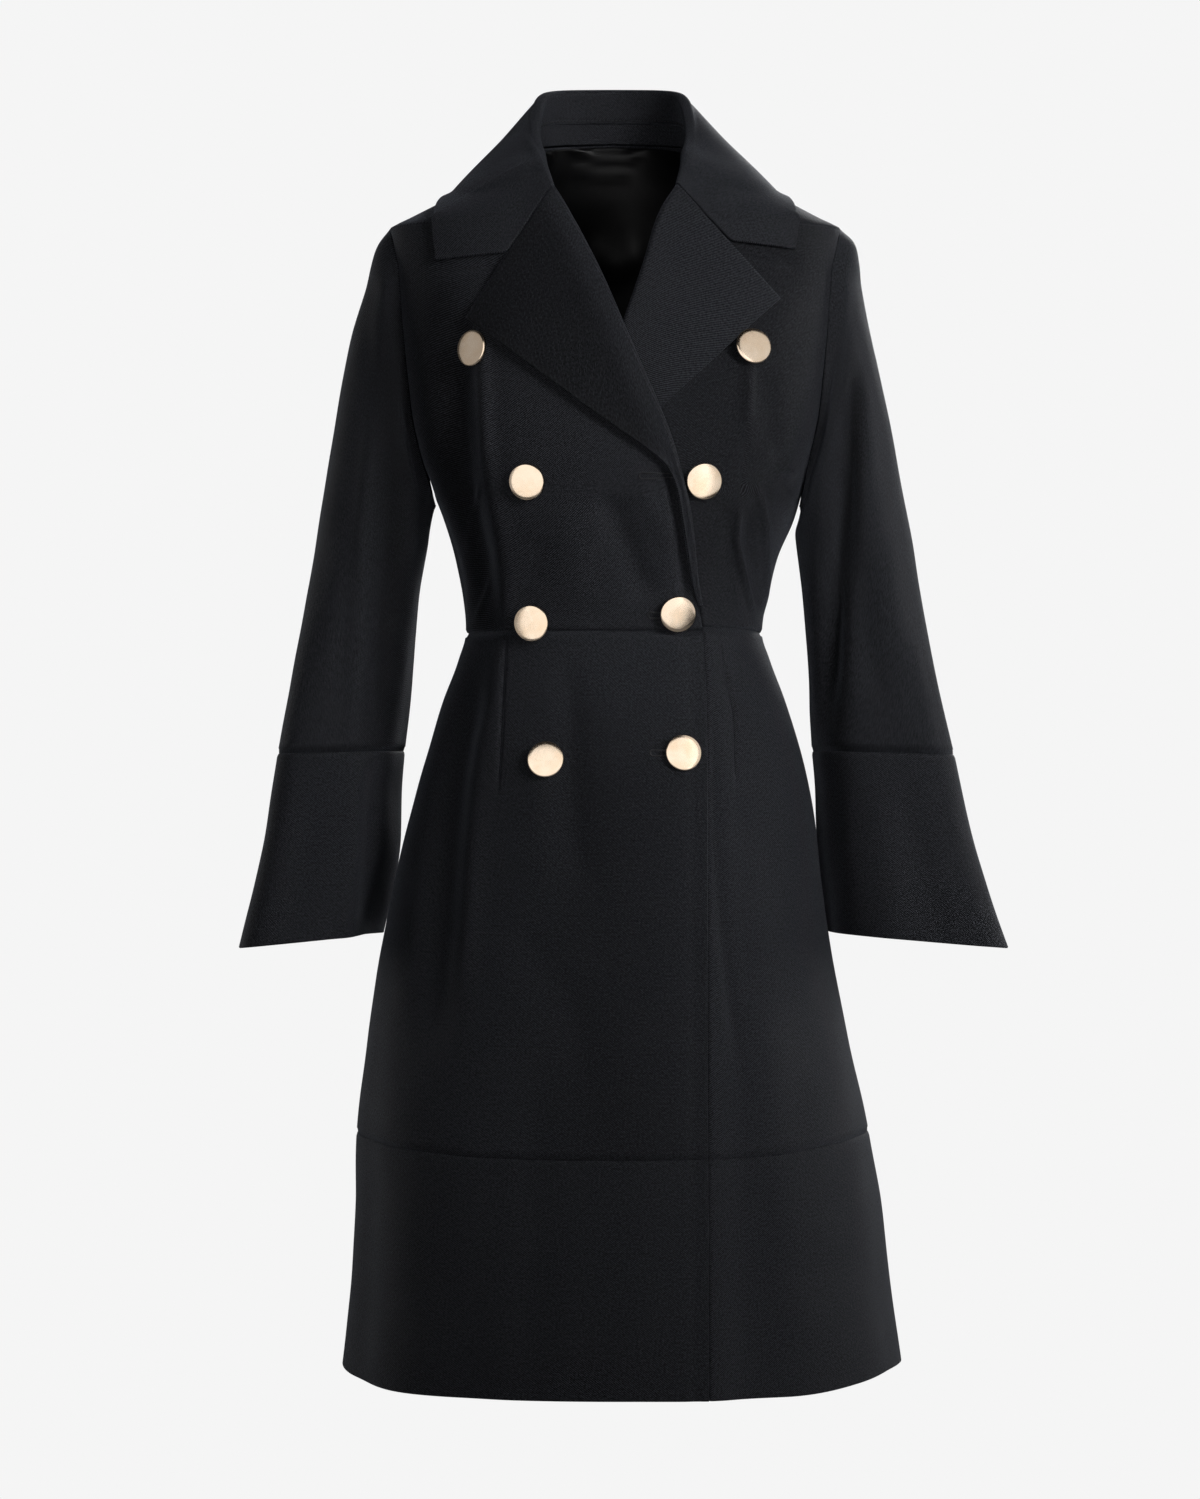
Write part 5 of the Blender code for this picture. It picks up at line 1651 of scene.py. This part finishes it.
def add_lamps():
    """Softboxes for everything but the buttons, and cards for the buttons alone."""
    polished, rest = [bpy.data.collections.new(name) for name in ("polished_buttons", "all_but_buttons")]
    for button in BUTTONS:
        for group in (polished, rest):
            group.objects.link(bpy.data.objects[button[0] + "_metal"])
    for linked in rest.collection_objects:
        linked.light_linking.link_state = "EXCLUDE"
    for lamps, receivers in ((SOFTBOXES, rest), (CARDS, polished)):
        for lamp in lamps:
            add_softbox(*lamp).light_linking.receiver_collection = receivers


def add_camera():
    """Level camera straight in front of the coat, framed as the photograph is."""
    lens = bpy.data.cameras.new("front_camera")
    lens.sensor_fit = "VERTICAL"
    lens.sensor_height = SENSOR_HEIGHT
    lens.lens = SENSOR_HEIGHT * CAMERA_DISTANCE / (IMAGE_HEIGHT * PIXEL_SIZE)
    camera = bpy.data.objects.new("front_camera", lens)
    camera.location = (CAMERA_X, -CAMERA_DISTANCE, CAMERA_LEVEL)
    camera.rotation_euler = (np.pi / 2, 0.0, 0.0)
    bpy.context.scene.collection.objects.link(camera)
    bpy.context.scene.camera = camera


def front_part(side, drop):
    """Node of a front that a drop falls on, over or under the waist seam."""
    return side + ("_front_bodice" if drop < WAIST_DROP else "_front_skirt")


def sewn_on(node):
    """Pieces that are sewn on a piece of cloth: buttons, their shanks, buttonholes and stitches."""
    names = ["collar_seam_stitches"] if node == "collar" else []
    for name, side, x, drop, gap in BUTTONS:
        if node == front_part(side, drop):
            names += [name + "_metal", name + "_shank"]
    for name, x, drop in BUTTONHOLES:
        if node == front_part("right", drop):
            names.append(name)
    return [bpy.data.objects[name] for name in names]


def declare_sheets():
    """Go over every piece of cloth in the cut table and look up the pieces sewn on it, keeping nothing."""
    for node, width, length, area, held, rests_on in CUTS:
        sewn_on(node)


weave, tone = make_twill_weave(), make_cloth_tone()
twill = make_fabric("coat_twill", weave, tone)
satin = make_fabric("lining_satin", weave, tone)
thread = make_thread(tone)
gold = make_gold()

for front in ("right", "left"):
    add_front(front, twill)
    add_lapel(front, twill)
    add_sleeve(front, twill)
add_back(twill, satin)
collar_grid = add_collar(twill)
add_collar_stitches(collar_grid, thread)
add_buttons(gold, thread)
for name, x, drop in BUTTONHOLES:
    add_buttonhole(name, x, drop, thread)
declare_sheets()
add_floor()
add_surround()
add_lamps()
add_camera()
bpy.context.scene.view_settings.view_transform = "Standard"
